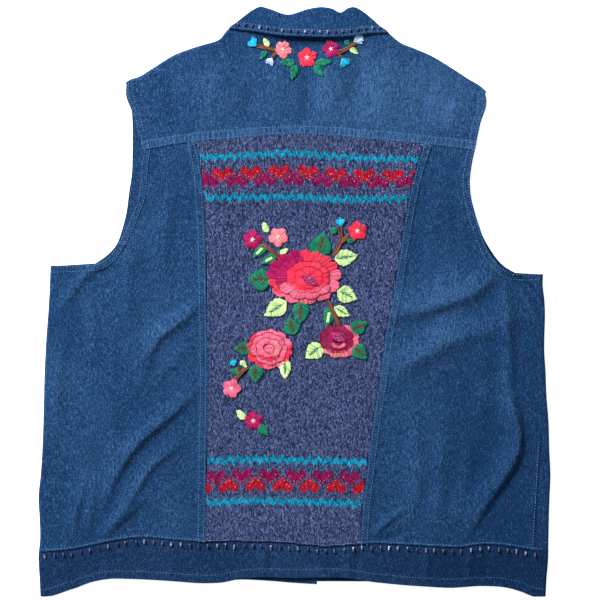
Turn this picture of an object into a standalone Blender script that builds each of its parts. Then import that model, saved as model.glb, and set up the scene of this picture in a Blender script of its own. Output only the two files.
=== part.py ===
"""Denim vest with a knitted back panel, laid flat on its front.

Tables and sizes are in millimetres, and the objects are built in metres. +Z is up, +Y points
to the collar, and the vest lies on the plane z = 0 with its back uppermost.
"""

import bmesh
import bpy
import numpy as np
from mathutils import Vector

MM = 0.001
WELD = 0.00002

# Cloth walls and seams
DENIM_WALL = 1.2
KNIT_WALL = 1.8
BAND_WALL = 1.8
FRONT_BAND_WALL = 1.6
COLLAR_WALL = 1.8
LEAF_WALL = 1.4
SEAM_GAP = 0.3

# Heights of the layers: the fronts rise over the collar's ends, and the left front over the right
BACK_TOP = 6.0
LEAF_LIFT = 1.7
LEAF_LIFT_STARTS = 95.0
LEAF_LIFT_ENDS = 135.0
LAP_LIFT = 2.0
LAP_RAMP = 30.0
LAP_LEAD = 36.0

# Edges that roll from one layer to the other
ROLL_STEPS = 6
SHOULDER_REACH = 10.0

# Collar: heights of its fold and its free edge, at the ends and at the middle
FOLD_HEIGHT = (3.4, 1.0)
FOLD_RADIUS = (2.4, 3.2)
FREE_EDGE_HEIGHT = (10.5, 13.0)

# Grid counts
LOW_ROWS = 26
HIGH_ROWS = 11
BESIDE_COLUMNS = 5
INSIDE_COLUMNS = 11
CENTRE_COLUMNS = 14
CENTRE_ROWS = 32
YOKE_ROWS = 10
SHOULDER_COLUMNS = 9
NECK_COLUMNS = 14
BAND_ROWS = 3
BAND_COLUMNS = 46
FRONT_LOW_ROWS = 16
FRONT_HIGH_ROWS = 8
FRONT_BESIDE_COLUMNS = 3
FRONT_INSIDE_COLUMNS = 9
FRONT_BAND_COLUMNS = 22
FRONT_BAND_ROWS = 2
COLLAR_COLUMNS = 34
STAND_STEPS = 4
FALL_STEPS = 4
LEAF_COLUMNS = 6
LEAF_ROWS = 5

SIGN = {"left": -1.0, "right": 1.0}

# Lines of the vest as it lies, each row (x, y)
FOLD_EDGE = {
    "left": (
        (-305.5, -354.5), (-306.5, -334), (-307.8, -305), (-306, -286), (-306.6, -262), (-307.8, -233),
        (-305.4, -209), (-303, -171), (-301.8, -133), (-300.6, -85), (-298, -37), (-295.8, -8), (-293.4, 43),
    ),
    "right": (
        (302, -354.5), (303, -334), (305, -310), (305.4, -286), (306.6, -238), (307.8, -209), (306.6, -181),
        (305.4, -142), (303, -113), (301.8, -82), (300.6, -65), (300.6, 2), (298.4, 21), (299, 33),
    ),
}
YOKE_SEAM = (
    (-181.5, 181.8), (-124, 191.4), (-67, 196.2), (-29, 199.2), (7, 200.4), (43, 199.2), (75, 196.2),
    (115, 192.6), (153, 189), (216.6, 181.8),
)
BAND_SEAM = {
    "back": (
        (-308, -300.6), (-283, -299), (-260, -296), (-237, -291), (-209, -285.5), (-180, -283.2),
        (-149, -285.6), (-107, -288.6), (-58, -288), (0, -291), (31, -294), (60, -293.4), (87, -290.5),
        (133, -292), (184, -294.6), (199, -295), (219, -292), (242, -291.7), (265, -294.6), (287, -298),
        (309, -299.6),
    ),
    "front": ((-308, -300.6), (-200, -295), (0, -292), (200, -295.5), (309, -299.6)),
}
BAND_HEM = (
    (-308, -354.5), (-293, -353.4), (-278, -348.6), (-263, -344), (-243, -336.6), (-224, -333), (-195, -333),
    (-147, -335.4), (-107, -337.8), (-87, -336.8), (-65, -332.2), (7, -331), (64, -331.2), (88, -335),
    (112, -337.8), (160, -341.4), (187, -342.6), (228, -340.4), (256, -342.6), (272, -347), (289, -353.4),
    (305, -354.5),
)
FRONT_HEM = {
    "left": (
        (-308, -354.5), (-293, -352.4), (-278, -347.6), (-243, -335.6), (-224, -332), (-147, -334.4),
        (-89, -336.6), (-70, -334.2), (-32, -335.4), (-3, -338), (27, -340),
    ),
    "right": (
        (-11, -336.8), (27, -336.6), (70, -336.6), (110, -337), (160, -340.4), (187, -341.6), (228, -339.4),
        (256, -341.6), (272, -346), (289, -352.4), (305, -354.5),
    ),
}
PRINCESS = {
    "left": (
        (-107, -288.6), (-106, -197), (-104.4, -101), (-105.6, 2), (-108.6, 110), (-113, 164), (-119, 192.2),
    ),
    "right": (
        (78.5, -291.4), (82, -242), (87, -200), (93.8, -145), (102.6, -90), (111, -28), (117.6, 2),
        (123.7, 40), (131.4, 90.6), (138.6, 130), (146.6, 162), (155.4, 188.8),
    ),
}
BACK_ARMHOLE = {
    "left": (
        (-239.4, 45), (-231, 48.6), (-220, 58), (-213, 69), (-204.6, 83.4), (-196, 104), (-189, 122),
        (-186, 140), (-184, 166), (-181.5, 181.8),
    ),
    "right": (
        (263.4, 34), (252, 39), (243, 47), (236, 56), (230, 68), (223, 87), (216.6, 107), (211.8, 126.6),
        (210.6, 141), (213, 165), (216.6, 181.8),
    ),
}
FRONT_ARMHOLE = {
    "left": (
        (-239.4, 46), (-222, 59), (-214, 69), (-207, 88), (-202, 107), (-198.6, 131), (-195, 155),
        (-194, 182), (-194, 222), (-197, 257),
    ),
    "right": (
        (266, 34.6), (255, 40.6), (244.6, 49.8), (237.4, 59.4), (230, 71), (219, 95), (209, 125), (207, 142),
        (210, 170), (217, 215), (222, 245),
    ),
}
YOKE_ARMHOLE = {
    "left": ((-181.5, 181.8), (-189, 206), (-194, 226), (-201.6, 249), (-201, 261)),
    "right": ((216.6, 181.8), (222.6, 213), (229.6, 241), (228, 250)),
}
SHOULDER = {
    "left": (
        (-203.4, 263.4), (-196, 267.4), (-189, 269.4), (-171, 280), (-143, 297), (-123, 304.5),
        (-101, 311.4), (-83, 321.5),
    ),
    "right": (
        (115, 319.5), (126.6, 311), (144.6, 304), (161, 297), (190, 280), (210, 267), (222, 260), (231, 252),
    ),
}
NECKLINE = (
    (-83, 321), (-50, 320), (-31, 315.2), (-11, 311.4), (10, 309.2), (33, 310.8), (55, 313.8), (70, 316.8),
    (92, 320), (116, 318),
)
COLLAR_EDGE = (
    (-79, 327.8), (-50, 324.2), (-31, 321), (-5, 318.2), (19, 317.3), (47, 317), (70, 318.8),
    (92, 322), (113, 323),
)
COLLAR_FOLD = (
    (-76, 331.4), (-70, 335.5), (-61, 342.6), (-51, 350), (-41, 354.4), (-32, 352.4), (-8, 343.8), (16, 350),
    (31, 352), (45, 350), (56, 345.6), (64, 350.6), (71, 352), (83, 346), (93, 339), (103, 330.6),
    (110, 326.4),
)
FRONT_EDGE_X = {"left": 27.0, "right": -11.0}
FRONT_NECK = {
    "left": ((27, 190), (22, 213), (0, 228), (-35, 247), (-66, 280), (-76, 312)),
    "right": ((-11, 190), (-6, 213), (18, 228), (66, 247), (100, 280), (110, 310)),
}
LEAF_OUTER = {
    "left": ((-22, 172), (-80, 205), (-108, 262), (-103, 302)),
    "right": ((38, 172), (104, 205), (136, 262), (131, 298)),
}
LEAF_INNER = {
    "left": ((4, 226), (-35, 247), (-66, 281), (-77, 310)),
    "right": ((12, 226), (66, 247), (100, 281), (111, 308)),
}

SIDE_SEAM = {
    "left": ((-292, -355), (-292, -290), (-290, -100), (-285.5, 45)),
    "right": (
        (287, -355), (290, -288), (293, -235), (297.2, -170), (298.6, -140), (297.6, -100),
        (295.6, -40), (294, 34),
    ),
}

# Largest folds of the back: start, end, sideways bow of the crest, slope widths on the left and
# the right of the way from start to end, and height
FOLDS = (
    (-128, -106, -228, -216, 0, 10, 20, 5.0),
    (-154, -184, -241, -284, 4, 9, 16, 4.0),
    (-157, -20, -157, -95, 0, 13, 13, 1.6),
    (-184, -50, -186, -140, 0, 13, 13, -1.2),
    (-252, -215, -264, -292, 0, 13, 13, 2.0),
    (-205, 75, -172, -45, 0, 18, 18, 1.6),
    (247, -70, 270, -200, 4, 9, 24, 4.6),
    (273, -168, 204, -296, 6, 9, 22, 5.0),
    (200, -14, 108, -94, 0, 12, 24, 2.6),
    (190, 8, 126, -14, 0, 10, 18, 2.0),
    (250, 34, 253, -130, 0, 14, 13, 2.6),
    (246, 50, 294, 3, 0, 6, 6, -1.8),
    (98, -172, 190, -112, 0, 22, 12, 2.2),
    (-53, 262, -58, 204, 0, 11, 11, -1.4),
    (15, 282, 15, 214, 0, 10, 10, -1.4),
    (73, 298, 72, 222, 0, 11, 11, -1.4),
    (-20, 290, -22, 206, 0, 15, 15, 1.6),
    (44, 296, 42, 206, 0, 15, 15, 1.6),
    (112, 296, 104, 200, 0, 20, 20, 1.8),
    (-97, 296, -92, 200, 0, 20, 20, 1.6),
)

# Cloth colours, each (red, green, blue)
DENIM = (0.022, 0.072, 0.185)
BAND_DENIM = (0.015, 0.05, 0.135)
KNIT = (0.05, 0.062, 0.155)


def through(places, values, at):
    """Values at some places on the smooth curve through a table's rows."""
    slopes = np.gradient(values, places)
    low = np.clip(np.searchsorted(places, at) - 1, 0, len(places) - 2)
    step = places[low + 1] - places[low]
    t = np.clip((at - places[low]) / step, 0.0, 1.0)
    rise = (values[low + 1] - values[low]) * t**2 * (3 - 2 * t)
    lean = slopes[low] * t * (1 - t) ** 2 - slopes[low + 1] * t**2 * (1 - t)
    return values[low] + rise + step * lean


def over_x(rows, start, end, count):
    """Points of a line across the vest, evenly spaced from x = start to x = end."""
    table = np.array(rows, float)
    x = np.linspace(start, end, count)
    return np.stack([x, through(table[:, 0], table[:, 1], x)], axis=1)


def over_y(rows, start, end, count):
    """Points of a line along the vest, evenly spaced from y = start to y = end."""
    table = np.array(rows, float)
    y = np.linspace(start, end, count)
    return np.stack([through(table[:, 1], table[:, 0], y), y], axis=1)


def along(rows, count):
    """Points evenly spaced by length on the smooth line through a table's rows."""
    table = np.array(rows, float)
    lengths = np.hypot(*np.diff(table, axis=0).T)
    travel = np.concatenate([[0.0], np.cumsum(lengths)])
    at = np.linspace(0.0, travel[-1], count)
    return np.stack([through(travel, table[:, 0], at), through(travel, table[:, 1], at)], axis=1)


def straight(start, end, count):
    return np.linspace(start, end, count)


def snapped(line, start, end):
    """A line moved a little, so that it runs from one corner to another."""
    t = np.linspace(0.0, 1.0, len(line))[:, None]
    return line + (1 - t) * (start - line[0]) + t * (end - line[-1])


def patch(bottom, top, left, right):
    """Grid of points between four lines that meet at their ends."""
    across = np.linspace(0.0, 1.0, len(bottom))[None, :, None]
    upward = np.linspace(0.0, 1.0, len(left))[:, None, None]
    between_ends = (1 - upward) * bottom + upward * top
    between_sides = (1 - across) * left[:, None] + across * right[:, None]
    low = (1 - across) * bottom[0] + across * bottom[-1]
    high = (1 - across) * top[0] + across * top[-1]
    return between_ends + between_sides - (1 - upward) * low - upward * high


def smooth_step(value, start, end):
    t = np.clip((value - start) / (end - start), 0.0, 1.0)
    return t * t * (3 - 2 * t)


def fold_heights(x, y):
    total = np.zeros_like(x)
    for start_x, start_y, end_x, end_y, bow, left, right, height in FOLDS:
        run_x, run_y = end_x - start_x, end_y - start_y
        length = np.hypot(run_x, run_y)
        part = ((x - start_x) * run_x + (y - start_y) * run_y) / length**2
        hump = np.clip(4 * part * (1 - part), 0.0, 1.0)
        aside = (run_x * (y - start_y) - run_y * (x - start_x)) / length - bow * hump
        width = np.where(aside > 0, left, right)
        total += height * hump**1.5 * np.exp(-((aside / width) ** 2))
    return total


def floor_height(points):
    """Height of the fronts' outside, which faces the floor."""
    return LEAF_LIFT * smooth_step(points[..., 1], LEAF_LIFT_STARTS, LEAF_LIFT_ENDS)


def left_front_height(points):
    """Height of the left front's outside, which rises where it lies on the right front."""
    ramp_end = FRONT_EDGE_X["right"] - LAP_LEAD
    return floor_height(points) + LAP_LIFT * smooth_step(points[..., 0], ramp_end - LAP_RAMP, ramp_end)


def back_height(points):
    """Height of the back's outside, which faces up."""
    return BACK_TOP + floor_height(points) + fold_heights(points[..., 0], points[..., 1])


def lifted(points, height):
    return np.concatenate([points, height(points)[..., None]], axis=-1)


def rolled(edge, inward, seam, leaves, joins):
    """Points that take a panel round a fold line, from the layer it leaves to a seam on another.

    The result has a row for each point of the edge. Its first column is where the roll starts,
    and its last is the seam.
    """
    radius = np.abs(leaves(edge) - joins(edge)) / 2
    start = edge + inward * radius[:, None]
    first, last = leaves(start), joins(start)
    columns = []
    for angle in np.linspace(0.0, np.pi, ROLL_STEPS + 1):
        place = start - inward * (radius * np.sin(angle))[:, None]
        height = (first + last) / 2 + (first - last) / 2 * np.cos(angle)
        columns.append(np.concatenate([place, height[:, None]], axis=1))
    columns.append(lifted(seam, joins))
    return np.stack(columns, axis=1)


def outer_edge(side, start, end, rows, leaves, joins=None):
    """A panel's edge at the side, and the roll that goes on from it where it joins another layer."""
    seam = over_y(SIDE_SEAM[side], start, end, rows)
    if joins is None:
        return seam, None
    fold = over_y(FOLD_EDGE[side], start, end, rows)
    inward = np.array([[-SIGN[side], 0.0]])
    roll = rolled(fold, inward, seam, leaves, joins)
    return roll[:, 0, :2], roll


def with_roll(grid, roll):
    """A panel's grid with its roll as more columns before the first."""
    if roll is None:
        return grid
    return np.concatenate([roll[:, :0:-1], grid], axis=1)


def band_seam_between(layer, start, end, columns):
    return snapped(over_x(BAND_SEAM[layer], start[0], end[0], columns + 1), start, end)


def on_band_seam(layer, x):
    return over_x(BAND_SEAM[layer], x, x, 1)[0]


def armhole_panel(layer, outer, roll, armhole, inner_low, inner_high, top, columns, height):
    """Grids of a panel with an armhole: beside it below the arm, inside that, and above it."""
    armpit = armhole[0]
    foot = on_band_seam(layer, armpit[0])
    below_arm = straight(foot, armpit, len(outer))
    underarm = straight(outer[-1], armpit, columns[0] + 1)
    level = straight(armpit, inner_low[-1], columns[1] + 1)
    beside = patch(band_seam_between(layer, outer[0], foot, columns[0]), underarm, outer, below_arm)
    inside = patch(band_seam_between(layer, foot, inner_low[0], columns[1]), level, below_arm, inner_low)
    above = patch(level, top, armhole, inner_high)
    return [with_roll(lifted(beside, height), roll), lifted(inside, height), lifted(above, height)]


def shoulder_edge(side):
    """The shoulder's fold line and the directions from it into the vest."""
    edge = along(SHOULDER[side], SHOULDER_COLUMNS + 1)
    way = np.gradient(edge, axis=0)
    way /= np.linalg.norm(way, axis=1)[:, None]
    return edge, np.stack([way[:, 1], -way[:, 0]], axis=1)


def shoulder_seam(side, columns):
    """The seam of yoke and front, a reach in from the fold line on the front's layer."""
    edge, inward = shoulder_edge(side)
    return along(edge + inward * SHOULDER_REACH, columns + 1)


def shoulder_roll(side):
    edge, inward = shoulder_edge(side)
    return rolled(edge, inward, edge + inward * SHOULDER_REACH, back_height, floor_height)


def yoke_seam_between(start_x, end_x, columns):
    return over_x(YOKE_SEAM, start_x, end_x, columns + 1)


def under_roll(bottom, roll, left, right):
    """Grid of the yoke below a shoulder, and on round the shoulder."""
    flat = patch(bottom, roll[:, 0, :2], left, right)
    return np.concatenate([lifted(flat, back_height), roll.transpose(1, 0, 2)[1:]], axis=0)


def back_yoke():
    rows = YOKE_ROWS + 1
    left_roll, right_roll = shoulder_roll("left"), shoulder_roll("right")
    left_neck, right_neck = left_roll[-1, 0, :2], right_roll[0, 0, :2]
    start, end = YOKE_SEAM[0][0], YOKE_SEAM[-1][0]
    left_seam = yoke_seam_between(start, left_neck[0], SHOULDER_COLUMNS)
    neck_seam = yoke_seam_between(left_neck[0], right_neck[0], NECK_COLUMNS)
    right_seam = yoke_seam_between(right_neck[0], end, SHOULDER_COLUMNS)
    left_line = straight(left_seam[-1], left_neck, rows)
    right_line = straight(right_seam[0], right_neck, rows)
    left_armhole = snapped(along(YOKE_ARMHOLE["left"], rows), left_seam[0], left_roll[0, 0, :2])
    right_armhole = snapped(along(YOKE_ARMHOLE["right"], rows), right_seam[-1], right_roll[-1, 0, :2])
    neck = snapped(over_x(NECKLINE, left_neck[0], right_neck[0], NECK_COLUMNS + 1), left_neck, right_neck)
    middle = lifted(patch(neck_seam, neck, left_line, right_line), back_height)
    return [
        under_roll(left_seam, left_roll, left_armhole, left_line),
        middle,
        under_roll(right_seam, right_roll, right_line, right_armhole),
    ]


def back_centre():
    left, right = PRINCESS["left"], PRINCESS["right"]
    bottom = over_x(BAND_SEAM["back"], left[0][0], right[0][0], CENTRE_COLUMNS + 1)
    top = over_x(YOKE_SEAM, left[-1][0], right[-1][0], CENTRE_COLUMNS + 1)
    rows = CENTRE_ROWS + 1
    left_line = snapped(over_y(left, bottom[0, 1], top[0, 1], rows), bottom[0], top[0])
    right_line = snapped(over_y(right, bottom[-1, 1], top[-1, 1], rows), bottom[-1], top[-1])
    return [lifted(patch(bottom, top, left_line, right_line), back_height)]


def back_side(side):
    """A side back: the left one rolls under the vest, and the right one stops at its seam on top."""
    joins = floor_height if side == "left" else None
    low = on_band_seam("back", FOLD_EDGE[side][0][0])[1]
    high = FOLD_EDGE[side][-1][1]
    outer, roll = outer_edge(side, low, high, LOW_ROWS + 1, back_height, joins)
    princess = PRINCESS[side]
    armhole = along(BACK_ARMHOLE[side], HIGH_ROWS + 1)
    corner = on_band_seam("back", princess[0][0])
    top = yoke_seam_between(armhole[-1, 0], princess[-1][0], INSIDE_COLUMNS)
    inner_low = over_y(princess, corner[1], armhole[0, 1], LOW_ROWS + 1)
    inner_high = over_y(princess, armhole[0, 1], top[-1, 1], HIGH_ROWS + 1)
    inner_low = snapped(inner_low, corner, inner_low[-1])
    inner_high = snapped(inner_high, inner_low[-1], top[-1])
    columns = (BESIDE_COLUMNS, INSIDE_COLUMNS)
    return armhole_panel("back", outer, roll, armhole, inner_low, inner_high, top, columns, back_height)


def front(side):
    """A front: the left one stops at its seam under the vest, and the right one rolls up round it."""
    height = left_front_height if side == "left" else floor_height
    joins = back_height if side == "right" else None
    low = on_band_seam("front", FOLD_EDGE[side][0][0])[1]
    high = FOLD_EDGE[side][-1][1]
    outer, roll = outer_edge(side, low, high, FRONT_LOW_ROWS + 1, floor_height, joins)
    top = shoulder_seam(side, FRONT_INSIDE_COLUMNS)
    if side == "right":
        top = top[::-1]
    armhole = along(FRONT_ARMHOLE[side], FRONT_HIGH_ROWS + 1)
    armhole = snapped(armhole, armhole[0], top[0])
    corner = on_band_seam("front", FRONT_EDGE_X[side])
    level = np.array([FRONT_EDGE_X[side], armhole[0, 1]])
    inner_low = straight(corner, level, FRONT_LOW_ROWS + 1)
    inner_high = snapped(along((level, *FRONT_NECK[side]), FRONT_HIGH_ROWS + 1), level, top[-1])
    columns = (FRONT_BESIDE_COLUMNS, FRONT_INSIDE_COLUMNS)
    return armhole_panel("front", outer, roll, armhole, inner_low, inner_high, top, columns, height)


def back_band():
    """The band rolls under at the left and stops at the seam on top at the right."""
    rows = BAND_ROWS + 1
    start = on_band_seam("back", FOLD_EDGE["left"][0][0])
    end = on_band_seam("back", FOLD_EDGE["right"][0][0])
    low = FOLD_EDGE["left"][0][1]
    outer, roll = outer_edge("left", low, start[1], rows, back_height, floor_height)
    inner = outer_edge("right", FOLD_EDGE["right"][0][1], end[1], rows, back_height)[0]
    hem = over_x(BAND_HEM, outer[0, 0], inner[0, 0], BAND_COLUMNS + 1)
    top = band_seam_between("back", outer[-1], inner[-1], BAND_COLUMNS)
    bottom = snapped(hem, outer[0], inner[0])
    return [with_roll(lifted(patch(bottom, top, outer, inner), back_height), roll)]


def front_band(side):
    height = left_front_height if side == "left" else floor_height
    joins = back_height if side == "right" else None
    rows = FRONT_BAND_ROWS + 1
    seam = on_band_seam("front", FOLD_EDGE[side][0][0])
    outer, roll = outer_edge(side, FOLD_EDGE[side][0][1], seam[1], rows, floor_height, joins)
    x = FRONT_EDGE_X[side]
    hem = over_x(FRONT_HEM[side], outer[0, 0], x, FRONT_BAND_COLUMNS + 1)
    bottom = snapped(hem, outer[0], hem[-1])
    top = band_seam_between("front", outer[-1], on_band_seam("front", x), FRONT_BAND_COLUMNS)
    inner = straight(bottom[-1], top[-1], rows)
    return [with_roll(lifted(patch(bottom, top, outer, inner), height), roll)]


def between(ends_and_middle, part):
    """A value that goes from its end value to its middle value and back along the collar."""
    ends, middle = ends_and_middle
    return ends + (middle - ends) * np.sin(np.pi * part)


def collar():
    """Stand and fall in one sheet: up from the neck seam, round the fold and back to the free edge."""
    count = COLLAR_COLUMNS + 1
    part = np.linspace(0.0, 1.0, count)
    left_neck, right_neck = shoulder_roll("left")[-1, 0, :2], shoulder_roll("right")[0, 0, :2]
    neck = snapped(over_x(NECKLINE, left_neck[0], right_neck[0], count), left_neck, right_neck)
    edge = over_x(COLLAR_EDGE, COLLAR_EDGE[0][0], COLLAR_EDGE[-1][0], count)
    fold = over_x(COLLAR_FOLD, COLLAR_FOLD[0][0], COLLAR_FOLD[-1][0], count)
    outward = fold - edge
    outward /= np.linalg.norm(outward, axis=1)[:, None]
    radius, low = between(FOLD_RADIUS, part), between(FOLD_HEIGHT, part)
    turn = fold - outward * radius[:, None]
    rows = []
    seam_height = back_height(neck) - COLLAR_WALL
    for step in np.linspace(0.0, 1.0, STAND_STEPS + 1)[:-1]:
        rows.append((neck + (turn - neck) * step, seam_height + (low - seam_height) * step))
    for angle in np.linspace(0.0, np.pi, ROLL_STEPS + 1):
        place = turn + outward * (radius * np.sin(angle))[:, None]
        rows.append((place, low + radius * (1 - np.cos(angle))))
    high, free = low + 2 * radius, between(FREE_EDGE_HEIGHT, part)
    for step in np.linspace(0.0, 1.0, FALL_STEPS + 1)[1:]:
        rows.append((turn + (edge - turn) * step, high + (free - high) * step))
    return [np.stack([np.concatenate([place, z[:, None]], axis=1) for place, z in rows])]


def collar_leaf(side):
    """The collar's end, flat on the floor under a front."""
    inner = along(LEAF_INNER[side], LEAF_COLUMNS + 1)
    outer = along(LEAF_OUTER[side], LEAF_COLUMNS + 1)
    front_line = straight(outer[0], inner[0], LEAF_ROWS + 1)
    back_line = straight(outer[-1], inner[-1], LEAF_ROWS + 1)
    flat = patch(outer, inner, front_line, back_line)
    return [np.concatenate([flat, np.zeros_like(flat[..., :1])], axis=-1)]


def area_from_above(grid):
    """Area of a grid seen from above, below zero where its faces point down."""
    one = grid[1:, 1:, :2] - grid[:-1, :-1, :2]
    other = grid[1:, :-1, :2] - grid[:-1, 1:, :2]
    return (one[..., 0] * other[..., 1] - one[..., 1] * other[..., 0]).sum() / 2


def add_grid(mesh, grid, facing):
    rows, columns = grid.shape[:2]
    turned = area_from_above(grid) * facing < 0
    verts = [[mesh.verts.new(Vector(point) * MM) for point in row] for row in grid]
    for row in range(rows - 1):
        for column in range(columns - 1):
            low, high = verts[row], verts[row + 1]
            corners = [low[column], low[column + 1], high[column + 1], high[column]]
            mesh.faces.new(corners[::-1] if turned else corners)


def draw_in(mesh, distance):
    """Moves a sheet's outline in, so that pieces which share a seam line stay apart."""
    ways = {}
    for edge in mesh.edges:
        if not edge.is_boundary:
            continue
        first, second = edge.verts
        run = (second.co - first.co).normalized()
        toward = edge.link_faces[0].calc_center_median() - first.co
        inward = (toward - run * toward.dot(run)).normalized()
        for vert in edge.verts:
            ways[vert] = ways.get(vert, Vector()) + inward
    for vert, way in ways.items():
        vert.co += way * (2 * distance / way.length_squared)


def cloth_material(name, colour):
    material = bpy.data.materials.new(name)
    material.use_nodes = True
    shader = material.node_tree.nodes["Principled BSDF"]
    shader.inputs["Base Color"].default_value = (*colour, 1.0)
    shader.inputs["Roughness"].default_value = 0.9
    return material


def cloth(name, grids, wall, facing, colour):
    """A sheet of cloth from its grids of outside points, given its wall on the inside."""
    mesh = bmesh.new()
    for grid in grids:
        add_grid(mesh, grid, facing)
    bmesh.ops.remove_doubles(mesh, verts=mesh.verts, dist=WELD)
    draw_in(mesh, SEAM_GAP / 2 * MM)
    data = bpy.data.meshes.new(name)
    mesh.to_mesh(data)
    mesh.free()
    data.materials.append(cloth_material(name, colour))
    piece = bpy.data.objects.new(name, data)
    bpy.context.collection.objects.link(piece)
    thickness = piece.modifiers.new("Wall", "SOLIDIFY")
    thickness.thickness = wall * MM
    thickness.offset = -1.0
    thickness.use_even_offset = True


def remove_all():
    for old in list(bpy.data.objects):
        bpy.data.objects.remove(old, do_unlink=True)


def main():
    remove_all()
    up, down = 1, -1
    cloth("back_yoke", back_yoke(), DENIM_WALL, up, DENIM)
    cloth("back_centre", back_centre(), KNIT_WALL, up, KNIT)
    cloth("back_band", back_band(), BAND_WALL, up, BAND_DENIM)
    cloth("collar", collar(), COLLAR_WALL, down, DENIM)
    for side in SIGN:
        cloth(f"back_side_{side}", back_side(side), DENIM_WALL, up, DENIM)
        cloth(f"front_{side}", front(side), DENIM_WALL, down, DENIM)
        cloth(f"front_band_{side}", front_band(side), FRONT_BAND_WALL, down, BAND_DENIM)
        cloth(f"collar_leaf_{side}", collar_leaf(side), LEAF_WALL, down, DENIM)


main()
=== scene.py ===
"""Looks of a denim vest with a knitted and embroidered back panel, laid flat with its back up.

The file is laid out as a Blender add-on and is run as a script. Tables and sizes in the text are
in millimetres, as in the part's source. Settings and meshes are in metres, in the part's frame.
"""

import math

import bmesh
import bpy
import numpy as np
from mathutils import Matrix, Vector


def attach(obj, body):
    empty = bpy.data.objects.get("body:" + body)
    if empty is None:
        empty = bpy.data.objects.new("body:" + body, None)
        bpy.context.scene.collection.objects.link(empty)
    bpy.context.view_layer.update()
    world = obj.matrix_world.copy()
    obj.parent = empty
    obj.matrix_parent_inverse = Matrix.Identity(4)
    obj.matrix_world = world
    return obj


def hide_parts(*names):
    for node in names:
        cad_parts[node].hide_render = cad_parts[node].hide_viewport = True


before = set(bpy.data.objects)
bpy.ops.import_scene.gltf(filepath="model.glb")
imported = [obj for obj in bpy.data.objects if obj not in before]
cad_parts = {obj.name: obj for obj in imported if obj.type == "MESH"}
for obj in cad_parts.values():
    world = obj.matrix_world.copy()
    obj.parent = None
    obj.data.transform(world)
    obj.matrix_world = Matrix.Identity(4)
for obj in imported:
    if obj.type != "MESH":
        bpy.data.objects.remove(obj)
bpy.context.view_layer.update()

bl_info = {
    "name": "Embroidered denim vest",
    "version": (1, 0, 0),
    "blender": (4, 5, 0),
    "location": "3D View > Sidebar > Vest",
    "description": "Builds the looks of a denim vest that is laid flat with its back up",
    "category": "Object",
}

MM = 0.001
WELD = 0.00002

# Cloth walls and seams
DENIM_WALL = 1.2
KNIT_WALL = 1.8
BAND_WALL = 1.8
FRONT_BAND_WALL = 1.6
COLLAR_WALL = 1.8
LEAF_WALL = 1.4
SEAM_GAP = 0.1
SHARP_ANGLE = 55.0

# Heights of the layers: the fronts rise over the collar's ends, and the left front over the right
BACK_TOP = 6.0
LEAF_LIFT = 1.7
LEAF_LIFT_STARTS = 95.0
LEAF_LIFT_ENDS = 135.0
LAP_LIFT = 2.0
LAP_RAMP = 30.0
LAP_LEAD = 36.0

# Edges that roll from one layer to the other
ROLL_STEPS = 12
SHOULDER_REACH = 10.0

# Collar: heights of its fold and its free edge, at the ends and at the middle
FOLD_HEIGHT = (3.4, 1.0)
FOLD_RADIUS = (2.4, 3.2)
NECK_TUCK = 2.0
NECK_TUCK_DROP = 1.3
FREE_EDGE_HEIGHT = (9.7, 12.8)

# Grid counts
LOW_ROWS = 208
HIGH_ROWS = 88
BESIDE_COLUMNS = 30
INSIDE_COLUMNS = 66
CENTRE_COLUMNS = 42
CENTRE_ROWS = 96
YOKE_ROWS = 60
SHOULDER_COLUMNS = 72
NECK_COLUMNS = 126
BAND_ROWS = 20
BAND_COLUMNS = 330
FRONT_LOW_ROWS = 80
FRONT_HIGH_ROWS = 36
FRONT_BESIDE_COLUMNS = 14
FRONT_INSIDE_COLUMNS = 48
FRONT_BAND_COLUMNS = 88
FRONT_BAND_ROWS = 8
COLLAR_COLUMNS = 136
STAND_STEPS = 8
FALL_STEPS = 12
LEAF_COLUMNS = 24
LEAF_ROWS = 20

SIGN = {"left": -1.0, "right": 1.0}

# Lines of the vest as it lies, each row (x, y)
FOLD_EDGE = {
    "left": (
        (-305.5, -354.5), (-306.5, -334), (-307.8, -305), (-306, -286), (-306.6, -262), (-307.8, -233),
        (-305.4, -209), (-303, -171), (-301.8, -133), (-300.6, -85), (-298, -37), (-295.8, -8), (-293.4, 43),
    ),
    "right": (
        (302, -354.5), (303, -334), (305, -310), (305.4, -286), (306.6, -238), (307.8, -209), (306.6, -181),
        (305.4, -142), (303, -113), (301.8, -82), (300.6, -65), (300.6, 2), (298.4, 21), (299, 33),
    ),
}
YOKE_SEAM = (
    (-181.5, 181.8), (-124, 191.4), (-67, 196.2), (-29, 199.2), (7, 200.4), (43, 199.2), (75, 196.2),
    (115, 192.6), (153, 189), (216.6, 181.8),
)
BAND_SEAM = {
    "back": (
        (-308, -300.6), (-283, -299), (-260, -296), (-237, -291), (-209, -285.5), (-180, -283.2),
        (-149, -285.6), (-107, -288.6), (-58, -288), (0, -291), (31, -294), (60, -293.4), (87, -290.5),
        (133, -292), (184, -294.6), (199, -295), (219, -292), (242, -291.7), (265, -294.6), (287, -298),
        (309, -299.6),
    ),
    "front": ((-308, -300.6), (-200, -295), (0, -292), (200, -295.5), (309, -299.6)),
}
BAND_HEM = (
    (-308, -354.5), (-293, -353.4), (-278, -348.6), (-263, -344), (-243, -336.6), (-224, -333), (-195, -333),
    (-147, -335.4), (-107, -337.8), (-87, -336.8), (-65, -332.2), (7, -331), (64, -331.2), (88, -335),
    (112, -337.8), (160, -341.4), (187, -342.6), (228, -340.4), (256, -342.6), (272, -347), (289, -353.4),
    (305, -354.5),
)
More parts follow.
